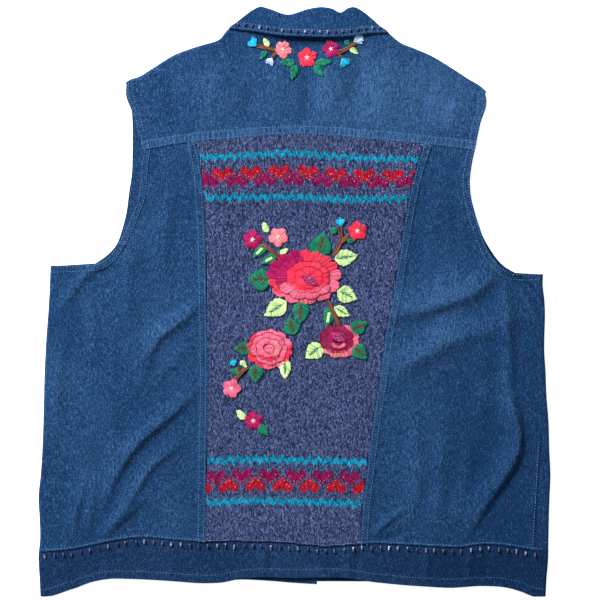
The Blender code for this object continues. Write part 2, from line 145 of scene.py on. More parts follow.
FRONT_HEM = {
    "left": (
        (-308, -354.5), (-293, -352.4), (-278, -347.6), (-243, -335.6), (-224, -332), (-147, -334.4),
        (-89, -336.6), (-70, -334.2), (-32, -335.4), (-3, -338), (27, -340),
    ),
    "right": (
        (-11, -336.8), (27, -336.6), (70, -336.6), (110, -337), (160, -340.4), (187, -341.6), (228, -339.4),
        (256, -341.6), (272, -346), (289, -352.4), (305, -354.5),
    ),
}
PRINCESS = {
    "left": (
        (-107, -288.6), (-106, -197), (-104.4, -101), (-105.6, 2), (-108.6, 110), (-113, 164), (-119, 192.2),
    ),
    "right": (
        (78.5, -291.4), (82, -242), (87, -200), (93.8, -145), (102.6, -90), (111, -28), (117.6, 2),
        (123.7, 40), (131.4, 90.6), (138.6, 130), (146.6, 162), (155.4, 188.8),
    ),
}
BACK_ARMHOLE = {
    "left": (
        (-239.4, 45), (-231, 48.6), (-220, 58), (-213, 69), (-204.6, 83.4), (-196, 104), (-189, 122),
        (-186, 140), (-184, 166), (-181.5, 181.8),
    ),
    "right": (
        (263.4, 34), (252, 39), (243, 47), (236, 56), (230, 68), (223, 87), (216.6, 107), (211.8, 126.6),
        (210.6, 141), (213, 165), (216.6, 181.8),
    ),
}
FRONT_ARMHOLE = {
    "left": (
        (-239.4, 46), (-222, 59), (-214, 69), (-207, 88), (-202, 107), (-198.6, 131), (-195, 155),
        (-194, 182), (-194, 222), (-197, 257),
    ),
    "right": (
        (266, 34.6), (255, 40.6), (244.6, 49.8), (237.4, 59.4), (230, 71), (219, 95), (209, 125), (207, 142),
        (210, 170), (217, 215), (222, 245),
    ),
}
YOKE_ARMHOLE = {
    "left": ((-181.5, 181.8), (-189, 206), (-194, 226), (-201.6, 249), (-201, 261)),
    "right": ((216.6, 181.8), (222.6, 213), (229.6, 241), (228, 250)),
}
SHOULDER = {
    "left": (
        (-203.4, 263.4), (-196, 267.4), (-189, 269.4), (-171, 280), (-143, 297), (-123, 304.5),
        (-101, 311), (-95.4, 312.6), (-88, 317), (-84.5, 322), (-80, 327), (-77.5, 328.8),
    ),
    "right": (
        (110.8, 324.4), (115, 321.2), (120, 316.6), (126.6, 311.6), (144.6, 304), (161, 297), (190, 280),
        (210, 267), (222, 260), (231, 252),
    ),
}
NECKLINE = (
    (-83, 328.8), (-75, 327.2), (-55, 322.3), (-29, 316.4), (-5, 310.8), (17, 308.8), (35, 310.2),
    (55, 314.4), (85, 319.6), (105, 322.6), (116, 323),
)
COLLAR_EDGE = (
    (-79, 327.8), (-50, 324.2), (-31, 321), (-5, 318.2), (19, 317.3), (47, 317), (70, 318.8),
    (92, 322), (113, 323),
)
COLLAR_FOLD = (
    (-76, 331.4), (-70, 335.5), (-61, 342.6), (-51, 350), (-41, 354.4), (-32, 352.4), (-8, 345), (16, 351.6),
    (31, 354), (45, 352.2), (56, 347.6), (64, 352.6), (71, 354), (83, 348), (93, 340), (103, 331),
    (110, 326.4),
)
FRONT_EDGE_X = {"left": 27.0, "right": -11.0}
FRONT_NECK = {
    "left": ((27, 190), (22, 213), (0, 228), (-35, 247), (-66, 280), (-76, 312)),
    "right": ((-11, 190), (-6, 213), (18, 228), (66, 247), (100, 280), (110, 310)),
}
LEAF_OUTER = {
    "left": ((-22, 172), (-80, 205), (-108, 262), (-103, 302)),
    "right": ((38, 172), (104, 205), (136, 262), (131, 298)),
}
LEAF_INNER = {
    "left": ((4, 226), (-35, 247), (-66, 281), (-77, 310)),
    "right": ((12, 226), (66, 247), (100, 281), (111, 308)),
}

SIDE_SEAM = {
    "left": ((-292, -355), (-292, -290), (-290, -100), (-285.5, 45)),
    "right": (
        (287, -355), (290, -288), (293, -235), (297.2, -170), (298.6, -140), (297.6, -100),
        (295.6, -40), (294, 34),
    ),
}

# Folds of the back: height, slope widths on the left and the right of the crest's way, and the crest
FOLDS = (
    (
        4.2, 5.5, 16,
        ((-112, -98), (-124, -112), (-152, -139), (-185, -167), (-204, -191), (-216, -212), (-234, -264)),
    ),
    (
        3.4, 5.5, 10,
        ((-126, -160), (-150, -180), (-173, -199), (-188, -223), (-200, -244), (-216, -264), (-236, -298)),
    ),
    (1.8, 4, 7, ((-172, -228), (-190, -246), (-203, -259), (-224, -278))),
    (2.2, 4.5, 9, ((-249, -208), (-257, -236), (-264, -260), (-266, -290))),
    (1.9, 4.5, 8, ((-233, -198), (-239, -222), (-246, -262), (-249, -284))),
    (3.8, 6, 14, ((-108, 4), (-124, -12), (-143, -28), (-163, -43), (-173, -60), (-182, -92))),
    (2.0, 5, 8, ((-203, -44), (-196, -58), (-186, -80), (-172, -104))),
    (2.2, 5, 8, ((-218, 50), (-248, 34), (-264, 14), (-284, -12))),
    (1.8, 7, 10, ((-247, 26), (-243, -20), (-240, -80))),
    (1.5, 9, 12, ((-196, 90), (-200, 20), (-196, -50))),
    (1.7, 9, 14, ((-150, 150), (-157, 60), (-160, -20))),
    (1.7, 7, 12, ((-278, -30), (-284, -100), (-288, -180))),
    (1.2, 7, 9, ((-222, -110), (-218, -150), (-222, -200))),
    (1.3, 6, 12, ((-118, -44), (-146, -72), (-178, -112))),
    (5.2, 9, 26, ((256, 52), (238, 30), (216, 11), (190, 2), (160, -8), (124, -14), (100, -12))),
    (4.6, 12, 24, ((268, -16), (238, -33), (204, -40), (170, -56), (134, -75), (98, -104))),
    (3.2, 7, 10, ((249, 44), (255, 5), (257, -60), (260, -120), (265, -158))),
    (
        5.2, 4.5, 20,
        (
            (250, -84), (256, -112), (265, -130), (270, -155), (268, -181), (258, -202), (235, -236),
            (200, -294),
        ),
    ),
    (2.6, 9, 14, ((138, -120), (148, -170), (148, -221), (126, -288))),
    (2.2, 10, 14, ((180, -118), (176, -200), (168, -288))),
    (1.8, 7, 12, ((212, -150), (206, -210), (190, -280))),
    (1.9, 4, 5, ((132, -248), (112, -264), (90, -286))),
    (-1.2, 4, 5, ((142, -272), (122, -282), (102, -291))),
    (-4.4, 3.5, 5.5, ((244, 46), (264, 31), (287, 12), (306, -16))),
    (1.4, 4, 6, ((270, 14), (284, -6), (294, -34))),
    (1.4, 9, 10, ((226, -40), (226, -110), (222, -170))),
    (1.2, 9, 9, ((170, 150), (166, 90), (158, 30))),
    (-1.0, 7, 7, ((190, 130), (194, 90), (198, 40))),
    (-2.0, 11, 11, ((-52, 266), (-58, 200))),
    (-2.0, 10, 10, ((15, 286), (15, 210))),
    (-2.0, 11, 11, ((73, 300), (72, 216))),
    (2.0, 15, 15, ((-20, 294), (-22, 204))),
    (2.0, 15, 15, ((44, 298), (42, 204))),
    (2.2, 16, 20, ((112, 298), (104, 198))),
    (2.0, 16, 20, ((-97, 298), (-92, 198))),
    (-1.2, 9, 9, ((-150, 264), (-142, 202))),
    (-1.2, 9, 9, ((160, 270), (150, 202))),
    (1.1, 8, 8, ((196, 246), (184, 198))),
    (1.3, 5, 5, ((-35, -290), (-38, -332))),
    (1.3, 4, 5, ((62, -292), (66, -334))),
    (-1.1, 4, 4, ((76, -290), (74, -336))),
    (1.2, 5, 5, ((160, -292), (158, -342))),
    (1.3, 5, 5, ((212, -292), (206, -342))),
    (-1.1, 5, 5, ((230, -292), (228, -342))),
    (1.0, 6, 6, ((-150, -286), (-146, -336))),
    (1.1, 6, 6, ((-230, -290), (-226, -336))),
)
# Shallow creases under the fronts, in the same way
FRONT_CREASES = (
    (0.9, 6, 10, ((-252, -240), (-215, -190), (-192, -130))),
    (0.8, 6, 9, ((-112, -250), (-150, -180), (-196, -104))),
    (0.7, 6, 9, ((-70, 66), (-112, 20), (-152, -40))),
    (0.8, 6, 10, ((-206, 30), (-176, -10), (-120, -66))),
    (0.9, 6, 10, ((254, -230), (216, -190), (186, -120))),
    (0.8, 6, 9, ((84, -258), (130, -190), (192, -146))),
    (0.7, 6, 9, ((66, 80), (118, 24), (182, -8))),
    (0.8, 6, 10, ((226, 30), (200, -30), (166, -92))),
)
CREST_STEPS = 12
FOLD_REACH = 3.0

# Ripples all over the cloth: wave length, heading and phase in degrees, and height
RIPPLES = (
    (96, 12, 40, 0.24), (71, 164, 200, 0.18), (58, 96, 310, 0.12), (39, 28, 75, 0.12),
    (31, 141, 150, 0.09), (23, 67, 20, 0.06), (17, 8, 260, 0.05), (13, 118, 95, 0.035),
)

# Lines that are sewn or worn, each a table of (x, y) rows
SEAM_LINES = {
    "yoke_seam": YOKE_SEAM,
    "collar_edge": COLLAR_EDGE,
    "band_seam": BAND_SEAM["back"],
    "front_band_seam": BAND_SEAM["front"],
    "hem": BAND_HEM,
    "underarm_left": ((-292, 43), (-266, 44), (-240, 45)),
    "underarm_right": ((264, 34), (280, 33.6), (293, 34)),
    "front_edge": ((-11, -336), (-11, -292), (-11, 0), (-11, 190)),
    "side_seam_left": ((-292, -345), (-292, -290), (-290, -100), (-286, 36)),
    "side_seam_right": ((289.6, -292), (293, -235), (296.4, -180), (297.2, -165)),
}
SIDED_LINES = {
    "front_hem": FRONT_HEM,
    "princess": PRINCESS,
    "armhole": BACK_ARMHOLE,
    "yoke_armhole": YOKE_ARMHOLE,
    "front_armhole": FRONT_ARMHOLE,
    "leaf": LEAF_OUTER,
}
SEAM_LINES.update(
    (f"{name}_{side}", line) for name, lines in SIDED_LINES.items() for side, line in lines.items()
)
LINE_STEP = 1.0
NEAR_AT_ONCE = 2000

# Doubled cloth beside seams and edges: line, width, rise, length and height of its puckers, wear; a wear
# below 0 is painted shade
STRIPS = {
    "back_yoke": (
        ("yoke_seam", 10.5, 0.6, 5.6, 0.4, 0.5),
        ("yoke_armhole_left", 8.5, 0.5, 7.0, 0.12, 0.3),
        ("yoke_armhole_right", 8.5, 0.5, 7.0, 0.12, 0.3),
    ),
    "back_side_left": (
        ("princess_left", 10.0, 0.7, 6.2, 0.22, 0.15),
        ("armhole_left", 8.5, 0.6, 6.6, 0.14, 0.15),
        ("band_seam", 3.4, 0.4, 5.0, 0.14, 0.35),
    ),
    "back_side_right": (
        ("princess_right", 10.0, 0.7, 6.2, 0.22, 0.15),
        ("armhole_right", 8.5, 0.6, 6.6, 0.14, 0.15),
        ("band_seam", 3.4, 0.4, 5.0, 0.14, 0.35),
        # Painted shade beside the right side seam
        ("side_seam_right", 2.2, -0.5, 9.0, 0.1, -0.5),
    ),
    "back_band": (
        ("hem", 9.5, 0.3, 6.4, 0.14, 0.12),
        # Painted shade on the band under its seam
        ("band_seam", 2.6, -0.7, 5.0, 0.1, -0.4),
    ),
    "collar": (("collar_edge", 9.5, 0.3, 6.0, 0.12, 0.35),),
}
STRIP_EDGE = 1.2
WANDER = ((23.0, 1.4), (9.1, 0.8))

# Painted shade over a whole piece, the collar, and patches of painted light and shade: middle x and y, half
# width, half height, and how much lighter (above 0) or darker (below 0)
PANEL_PAINTED_SHADE = {"collar": -0.3}
PAINTED_LIGHT_PATCHES = (
    # Painted light on the upper yoke, a painted shadow under the collar's free edge, and painted shade at
    # the lower right and on the band's right
    (70, 250, 160, 55, 0.5),
    (170, 250, 60, 60, 0.5),
    (17, 313, 50, 6.0, -1.0),
    (250, -200, 70, 150, -0.5),
    (250, -325, 110, 40, -0.3),
)
WEAR_ON_PUCKERS = 0.5
# Folds lighter on their ridges, as wear and as painted light, and darker in their troughs, as painted shade
FOLD_WEAR_AND_SHADE = 0.12

# Rolled cloth below this band of heights takes no relief
RELIEF_STARTS = 2.5
RELIEF_ENDS = 4.5

# Knitting charts, a letter for each stitch, from the top row down
HEART = (
    ".##...##.",
    "####.####",
    "#########",
    "#########",
    ".#######.",
    "..#####..",
    "...###...",
    "....#....",
)
ZIGZAG = (
    "#...",
    "##.#",
    "####",
    ".###",
    "..#.",
)

# Bands of the knit: chart, height of its middle, a wale at its middle, wales to a repeat, way up, colour
KNIT_BANDS = (
    (ZIGZAG, 177.4, 0, 4, 1, "turquoise"),
    (HEART, 153.6, 3, 12, 1, "heart_red"),
    (HEART, 149.2, 9, 12, -1, "heart_magenta"),
    (ZIGZAG, 125.4, 0, 4, -1, "turquoise"),
    (ZIGZAG, -188.8, 0, 4, 1, "turquoise"),
    (HEART, -211.0, 0, 12, 1, "heart_magenta"),
    (HEART, -217.5, 6, 12, -1, "heart_red"),
    (ZIGZAG, -238.8, 0, 4, -1, "turquoise"),
)
KNIT_WALES = (-12, 100)
KNIT_ROWS = 236
WALE_ZERO_X = -95.0
WALE_FAN = 0.00015
WALE_FAN_FROM = 150.0
# Sag of the knit's rows below their highest places, by x, at three heights
SAG_X = (-90.0, -56.0, -22.0, 11.0, 44.0, 76.0, 110.0)
ROW_SAG = (
    (-215.0, (2.4, 0.3, 0.8, 1.9, 2.4, 4.2, 5.4)),
    (125.0, (0.8, 0.1, 0.0, 0.4, 2.4, 2.8, 1.8)),
    (178.0, (4.6, 2.4, 0.2, 0.0, 2.9, 5.2, 6.7)),
)
KNIT_FOOT = -300.0
KNIT_EDGE = 0.4
KNIT_TOP_EDGE = -0.4
KNIT_STAND = 0.9
PLAIN_YARN = 0.3
MARL_CHANCES = (0.9, 1.1)
CHARTED_TONES = (0.48, 1.42)

# A leg of a knit stitch: lengths in row heights, widths in stitch widths, and its height in stands
LEG_HALF_LENGTH = 1.0
LEG_OUT_OF_LINE = 0.16
LEG_HALF_WIDTH = 0.22
LEG_ASIDE = 0.24
LEG_HEIGHT = 0.42
LEG_LEAN = math.radians(16.0)
LEG_LEAN_SPREAD = 0.06
LEG_SIZES = (0.9, 1.08)

# Rows of topstitching: panel, line, and distances to the left of the line's way
TOPSTITCHING = (
    ("back_yoke", "yoke_seam", (1.7, 9.6)),
    ("back_yoke", "yoke_armhole_left", (-2.0, -8.0)),
    ("back_yoke", "yoke_armhole_right", (2.0, 8.0)),
    ("back_side_left", "princess_left", (2.0, 8.4)),
    ("back_side_left", "armhole_left", (-2.0, -8.0)),
    ("back_side_left", "underarm_left", (-2.0, -8.0)),
    ("back_side_left", "band_seam", (1.8,)),
    ("back_side_right", "princess_right", (-2.0, -8.4)),
    ("back_side_right", "armhole_right", (2.0, 8.0)),
    ("back_side_right", "underarm_right", (-2.0, -8.0)),
    ("back_side_right", "side_seam_right", (3.4,)),
    ("back_band", "hem", (9.0,)),
)
UNDERSIDE_STITCHING = (
    ("front_edge", (-2.5, -10.0)),
    ("front_armhole_left", (-2.5,)),
    ("front_armhole_right", (2.5,)),
    ("front_band_seam", (1.8,)),
    ("front_hem_left", (6.8,)),
    ("front_hem_right", (6.8,)),
    ("side_seam_left", (-2.0, -8.0)),
    ("leaf_left", (-3.0,)),
    ("leaf_right", (3.0,)),
)
SEWN_LIFT = 0.25
STITCH_SEGMENTS = 6
STITCH_RINGS = 4
SEWN_HALF_WIDTH = 298.0
SUNK_ROWS = {"hem": 0.5}
COLLAR_ROWS = (1.9, 8.0)
COLLAR_SEWN = (0.07, 0.93)
FALL_STARTS = 0.2

# Beads: the band's, the collar's, the hearts' and the roses'
BAND_BEADS = 55
BAND_BEADS_FROM = -300.0
BAND_BEADS_TO = 288.0
BAND_BEAD_DROP = 5.6
COLLAR_BEADS = 20
COLLAR_BEADS_PART = (0.05, 0.95)
COLLAR_BEAD_INSET = 6.0
COLLAR_BEAD_SHARE = (0.84, 1.05, 1.05)
COLLAR_BEAD_TURN = math.radians(-6.0)
BEAD_STRAY = (0.7, 0.5)
BEAD_LEAN = 0.06
HEART_BEAD_STRAY = 0.8
BEAD_CHANCES = (0.15, 0.35, 0.25, 0.25)
PEARL_TONES = (0.15, 1.3)
PANEL_BEADS_INSIDE = 6.0
GOLDEN_ANGLE = 137.5
ROSE_BEAD_LIFT = 3.8
HEART_BEAD_SPOTS = ((-8, 3), (-5, 0), (-2.6, -3), (0, -5), (2.6, -3), (5, 0), (8, 3))

# Sections of the beads, each corner (along, from the axis), in lengths and radii
BUGLE_SECTION = ((-0.5, 0.5), (-0.2, 1.0), (0.2, 1.0), (0.5, 0.5), (0.5, 0.3), (-0.5, 0.3))
SEED_SECTION = ((-0.5, 0.7), (-0.3, 0.95), (0.3, 0.95), (0.5, 0.7), (0.3, 0.45), (-0.3, 0.45))
BEAD_SIDES = 8

# Embroidered flowers: x, y, radius, turn in degrees, petal colour
SPRAY_FLOWERS = (
    (-50.4, 74.2, 11.6, 80, "magenta"),
    (-19.4, 77.4, 11.8, 55, "coral"),
    (75.6, 84.8, 11.6, 95, "red"),
    (-75.4, -104.2, 11.4, 70, "pink"),
    (-49.4, -143.2, 11.2, 100, "magenta"),
)
GARLAND_FLOWERS = (
    (-13.8, 302.5, 10.4, 60, "coral"),
    (15.0, 292.8, 11.6, 90, "red"),
    (43.8, 303.0, 10.4, 110, "magenta"),
)

# Embroidered leaves: base x, y, tip x, y, width, colour, colour of the veins
SPRAY_LEAVES = (
    (-32.4, 82.8, -37.8, 95.8, 7.5, "lime", "lime"),
    (-17.4, 57.4, -7.4, 62.8, 6.5, "lime", "lime"),
    (48.0, 50.6, 76.2, 55.2, 19.0, "lime", "leaf"),
    (-9.4, -0.2, -35.8, -17.2, 21.0, "lime", "leaf"),
    (51.5, 13.0, 75.0, 2.5, 20.0, "lime", "leaf"),
    (47.4, -7.2, 66.2, -17.4, 12.5, "lime", "leaf"),
    (-11.4, -68.0, -11.4, -93.0, 14.0, "lime", "leaf"),
    (33.0, -52.2, 13.6, -68.2, 20.0, "lime", "leaf"),
    (-64.4, -71.2, -57.4, -79.2, 6.0, "lime", "lime"),
    (-59.4, -141.0, -69.4, -130.2, 8.5, "lime", "lime"),
    (28.2, 53.0, 35.4, 83.4, 26.0, "leaf", "vein"),
    (-28.6, 25.8, -56.4, 27.0, 26.0, "leaf", "vein"),
    (8.6, 0.0, 6.6, -27.0, 20.0, "leaf", "vein"),
    (-1.0, -40.0, -6.4, -19.0, 19.0, "leaf", "vein"),
    (-52.0, -56.2, -72.6, -56.2, 16.0, "leaf", "vein"),
    (-46.0, -76.0, -47.4, -97.2, 17.0, "leaf", "vein"),
    (67.0, -35.4, 88.0, -25.2, 17.0, "leaf", "vein"),
    (69.4, -52.6, 87.0, -69.0, 17.0, "leaf", "vein"),
    (-34.4, 67.8, -49.6, 52.8, 11.0, "leaf", "lime"),
    (-21.8, 55.4, -39.4, 45.2, 11.0, "leaf", "lime"),
    (43.0, -6.2, 38.6, -32.2, 12.5, "leaf", "lime"),
    (51.0, 83.4, 41.0, 87.0, 7.5, "leaf", "leaf"),
    (63.0, 72.6, 72.6, 73.2, 6.0, "leaf", "leaf"),
    (-66.6, -84.6, -77.2, -82.6, 7.5, "leaf", "leaf"),
    (-43.0, -148.6, -31.4, -160.6, 10.5, "leaf", "leaf"),
)
GARLAND_LEAVES = (
    (-31.0, 305.6, -37.2, 315.6, 6.5, "lime", "lime"),
    (65.9, 304.2, 76.8, 297.0, 5.5, "lime", "lime"),
    (0.6, 286.8, -17.6, 286.8, 9.5, "leaf", "leaf"),
    (1.3, 283.8, -3.0, 266.5, 9.5, "leaf", "leaf"),
    (25.3, 286.2, 44.2, 287.4, 8.5, "leaf", "leaf"),
    (23.9, 283.8, 34.2, 270.0, 8.5, "leaf", "leaf"),
    (-33.8, 301.0, -40.7, 290.5, 6.5, "leaf", "leaf"),
    (61.8, 307.6, 65.2, 314.2, 6.5, "leaf", "leaf"),
)

# Embroidered stems: start x, y, middle x, y, end x, y, width
SPRAY_STEMS = (
    (-40.4, 70.8, -29.0, 61.8, -15.0, 50.0, 5.0),
    (54.6, 89.8, 57.0, 73.8, 47.6, 54.8, 5.0),
    (66.4, 79.6, 61.0, 75.6, 55.0, 70.0, 4.2),
    (39.6, 1.8, 46.6, -12.2, 54.2, -31.2, 5.5),
    (-55.4, -78.4, -65.4, -86.2, -70.6, -94.0, 4.2),
    (-69.0, -78.2, -67.4, -81.8, -65.0, -86.0, 3.2),
)
GARLAND_STEMS = (
    (-44.8, 306.4, -34.0, 304.4, -22.4, 301.0, 4.4),
    (-20.4, 300.0, -23.4, 296.4, -26.8, 292.4, 3.6),
    (53.6, 299.0, 64.4, 303.8, 73.8, 310.6, 4.2),
    (51.8, 298.6, 54.0, 295.4, 56.6, 291.8, 3.6),
)

# Embroidered buds: foot x, y, size, heading in degrees, lobes, colour
SPRAY_BUDS = (
    (55.6, 90.6, 10.0, 95, 3, "turquoise"),
    (-72.2, -77.0, 8.5, 105, 3, "turquoise"),
)
GARLAND_BUDS = (
    (-46.0, 306.6, 11.5, 135, 2, "turquoise"),
    (57.4, 291.6, 11.0, 305, 2, "turquoise"),
    (-27.0, 291.6, 9.0, 240, 2, "white"),
    (72.0, 311.2, 12.0, 36, 1, "white"),
)

# Roses: x, y, half width, half height, and layers of petals from the lowest up
ROSES = (
    (
        11.4, 29.4, 45.0, 33.0,
        (
            # Shift x, y, start and end in degrees, inner and outer share, scallops, colour
            (0, 0, 205, 380, 0.5, 1.0, 6, "pink"),
            (0, 0, 182, 226, 0.5, 0.97, 2, "red"),
            (0, 0, 18, 97, 0.42, 1.0, 4, "red"),
            (0, 0, 94, 184, 0.5, 1.02, 4, "magenta"),
            (0, 0, 92, 215, 0.4, 0.78, 4, "magenta"),
            (1, -1, 200, 338, 0.4, 0.8, 4, "pink"),
            (4.4, 0.4, 0, 360, 0.3, 0.6, 8, "red"),
            (5.6, -0.4, 0, 360, 0.08, 0.4, 6, "red"),
        ),
    ),
    (
        -30.4, -57.2, 28.0, 24.0,
        (
            (0, 0, 118, 262, 0.5, 1.0, 4, "red"),
            (0, 0, 252, 322, 0.5, 1.0, 2, "pink"),
            (0, 0, 312, 382, 0.5, 1.0, 3, "red"),
            (0, 0, 8, 128, 0.5, 1.0, 4, "pink"),
            (1, -1, 205, 390, 0.4, 0.76, 4, "pink"),
            (-1, 1, 15, 212, 0.4, 0.8, 4, "pink"),
            (0, 0, 215, 325, 0.3, 0.6, 3, "red"),
            (-2, 2, 75, 300, 0.2, 0.52, 4, "pink"),
            (1, 1, -75, 85, 0.15, 0.5, 3, "coral"),
            (0, 0.6, 0, 360, 0.0, 0.24, 3, "pink"),
        ),
    ),
    (
        53.6, -47.2, 24.5, 20.5,
        (
            (0, 0, -75, 80, 0.5, 1.0, 4, "pink"),
            (0, 0, 210, 300, 0.5, 1.0, 3, "coral"),
            (0, 0, 148, 216, 0.5, 0.98, 2, "edge"),
            (-3, 2, 0, 360, 0.4, 0.84, 8, "plum"),
            (-2.5, 1, 0, 360, 0.2, 0.56, 6, "plum"),
            (-1, -1, 205, 345, 0.22, 0.44, 3, "pink"),
        ),
    ),
)
# Middles of roses: ends of a lens, its width and colour, then its beads' half spread, turn and number
ROSE_MIDDLES = (
    (7.4, 31.0, 29.8, 19.0, 11.0, "heart_magenta", 9.0, 3.6, -28.0, 13),
    (43.0, -37.5, 61.0, -48.5, 9.5, "heart_magenta", 7.0, 3.0, -31.0, 11),
)

# How the threads lie
STITCH_ARCH = (0.25, 0.9, 1.0, 0.9, 0.25)
RAGGED_ENDS = (-0.8, 0.7)
TONE_SPREAD = 0.16
SATIN_SPREAD = 0.34
UNEVEN_LIFT = 0.25
SPLIT_WITHIN = (0.38, 0.62)
SPLIT_OVERLAP = 0.06
SPLIT_LIFT = 0.1
PETALS = 5
PETAL_THREADS = 8
PETAL_SPREAD = 0.95
PETAL_NOTCH = 0.24
PETAL_STARTS = 0.16
STAR_REACH = 0.24
STAR_SHARE = 0.7
LEAF_CLOSENESS = 1.15
LEAF_SLANT = 0.16
LEAF_RIB = 0.86
LEAF_FULLNESS = 0.76
VEINS = (0.2, 0.36, 0.52)
RIB_WITH_VEINS = (0.12, 0.8)
RIB_ALONE = (0.28, 0.72)
RIB_POINTS = 4
RIB_APART = 0.16
STEM_POINTS = 9
STEM_STITCH = 4
STEM_STEP = 3
SCALLOP_DEPTH = 0.13
SCALLOP_ROUNDNESS = 0.6
LAYER_LIFT = 0.18
VEIN_LIFT = 0.75
LONG_STITCH = 13.0
MIDDLE_WITHIN = (0.04, 0.96)
MIDDLE_LIFT = 2.0
BUD_SPREAD = 46.0
BUD_CLOSENESS = 0.7
BUD_NOTCH = 0.28
EDGED_WITHIN = 0.9
EDGE_SHARE = 0.4
EDGE_LIFT = 0.7

# Veins by the leaf's colour and theirs: share of the thickness, side veins' reach, the rib's strands
VEIN_KINDS = {
    ("leaf", "vein"): (0.6, 0.55, 1),
    ("lime", "leaf"): (0.4, 0.35, 1),
    ("leaf", "lime"): (1.01, 0.0, 3),
}

# Textures: a shift that keeps flat cloth off the noise's lattice, and grains and lines in each metre
OFF_LATTICE = (0.2, 0.3, 0.4)
SLUB_GRAINS = (850.0, 170.0, 240.0)
FLECK_GRAINS = (800.0, 700.0, 700.0)
CLOUD_GRAINS = (17.0, 13.0, 13.0)
YARN_GRAINS = (700.0, 700.0, 700.0)
MARL_GRAINS = (600.0, 600.0, 600.0)
BEAD_GRAINS = (700.0, 700.0, 700.0)
# Spots of painted glint on the long beads
PAINTED_GLINT_GRAINS = (480.0, 480.0, 480.0)
SILK_GRAINS = (1400.0, 1400.0, 1400.0)
NOISE_DETAIL = 2.0
TWILL_TURN = math.radians(62.0)
TWILL_LINES = 330.0
TWILL_DISTORTION = 1.5
TWILL_SHARE = 0.5

# How much the textures lighten and darken, and the strength and depth in metres of fine relief
PLAIN_AT = 0.5
SLUB_FADE = 1.1
FLECK_FADE = 1.6
CLOUD_FADE = 0.35
# How much the wear and the painted light and shade lighten and darken the denim
WEAR_AND_SHADE_STRENGTH = 0.3
MARL_CONTRAST = 6.0
GLASS_CONTRAST = 1.6
# How much the long beads' painted glints lighten and darken their colour
PAINTED_GLINT_CONTRAST = 60.0
SILK_CONTRAST = 1.6
GRAIN_LIGHT = 0.8
GROUND_LIGHT = 0.3
THREAD_LIGHT = 0.6
DENIM_RELIEF = 0.4
TONED_RELIEF = 0.3
GROUND_RELIEF = 0.5
FINE_DEPTH = 0.0004
GROUND_DEPTH = 0.0008

# Finishes: roughness and gloss
DENIM_FINISH = (0.9, 0.03)
YARN_FINISH = (0.95, 0.03)
THREAD_FINISH = (0.7, 0.1)
SILK_FINISH = (0.5, 0.2)
GLASS_FINISH = (0.2, 0.9)
FLOOR_FINISH = (0.9, 0.1)

# Stage
FLOOR_HALF = 12.0
KEY_PLACE = (-2.3, 2.6, 1.9)
KEY_SIZE = 1.3
SENSOR_WIDTH = 36.0


def through(places, values, at):
    """Values at some places on the smooth curve through a table's rows."""
    slopes = np.gradient(values, places)
    low = np.clip(np.searchsorted(places, at) - 1, 0, len(places) - 2)
    step = places[low + 1] - places[low]
    t = np.clip((at - places[low]) / step, 0.0, 1.0)
    rise = (values[low + 1] - values[low]) * t**2 * (3 - 2 * t)
    lean = slopes[low] * t * (1 - t) ** 2 - slopes[low + 1] * t**2 * (1 - t)
    return values[low] + rise + step * lean


def line_at(rows, at, column):
    """A table's smooth line as a function of one of its columns."""
    table = np.array(rows, float)
    return through(table[:, column], table[:, 1 - column], at)


def over_x(rows, start, end, count):
    """Points of a line across the vest, evenly spaced from x = start to x = end."""
    x = np.linspace(start, end, count)
    return np.stack([x, line_at(rows, x, 0)], axis=1)


def over_y(rows, start, end, count):
    """Points of a line along the vest, evenly spaced from y = start to y = end."""
    y = np.linspace(start, end, count)
    return np.stack([line_at(rows, y, 1), y], axis=1)


def at_part(rows, start, end, part):
    """Points of a line across the vest at some parts of the way from x = start to x = end."""
    x = start + (end - start) * part
    return np.stack([x, line_at(rows, x, 0)], axis=1)


def along(rows, count):
    """Points evenly spaced by length on the smooth line through a table's rows."""
    table = np.array(rows, float)
    lengths = np.hypot(*np.diff(table, axis=0).T)
    travel = np.concatenate([[0.0], np.cumsum(lengths)])
    at = np.linspace(0.0, travel[-1], count)
    return np.stack([through(travel, table[:, 0], at), through(travel, table[:, 1], at)], axis=1)


def straight(start, end, count):
    return np.linspace(start, end, count)


def snapped(line, start, end):
    """A line moved a little, so that it runs from one corner to another."""
    t = np.linspace(0.0, 1.0, len(line))[:, None]
    return line + (1 - t) * (start - line[0]) + t * (end - line[-1])


def patch(bottom, top, left, right):
    """Grid of points between four lines that meet at their ends."""
    across = np.linspace(0.0, 1.0, len(bottom))[None, :, None]
    upward = np.linspace(0.0, 1.0, len(left))[:, None, None]
    between_ends = (1 - upward) * bottom + upward * top
    between_sides = (1 - across) * left[:, None] + across * right[:, None]
    low = (1 - across) * bottom[0] + across * bottom[-1]
    high = (1 - across) * top[0] + across * top[-1]
    return between_ends + between_sides - (1 - upward) * low - upward * high


def smooth_step(value, start, end):
    t = np.clip((value - start) / (end - start), 0.0, 1.0)
    return t * t * (3 - 2 * t)


def from_crest(crest, points):
    """How far each point is from a crest, more than 0 on its left, and the part of it passed there."""
    runs = np.diff(crest, axis=0)
    lengths = np.hypot(*runs.T)
    ways = runs / lengths[:, None]
    apart = points[:, None] - crest[None, :-1]
    travel = np.clip((apart * ways).sum(axis=2), 0.0, lengths)
    gaps = np.linalg.norm(apart - ways * travel[..., None], axis=2)
    nearest = gaps.argmin(axis=1)
    rows = np.arange(len(points))
    apart, way = apart[rows, nearest], ways[nearest]
    side = np.sign(way[:, 0] * apart[:, 1] - way[:, 1] * apart[:, 0])
    passed = (np.cumsum(lengths) - lengths)[nearest] + travel[rows, nearest]
    return side * gaps[rows, nearest], passed / lengths.sum()


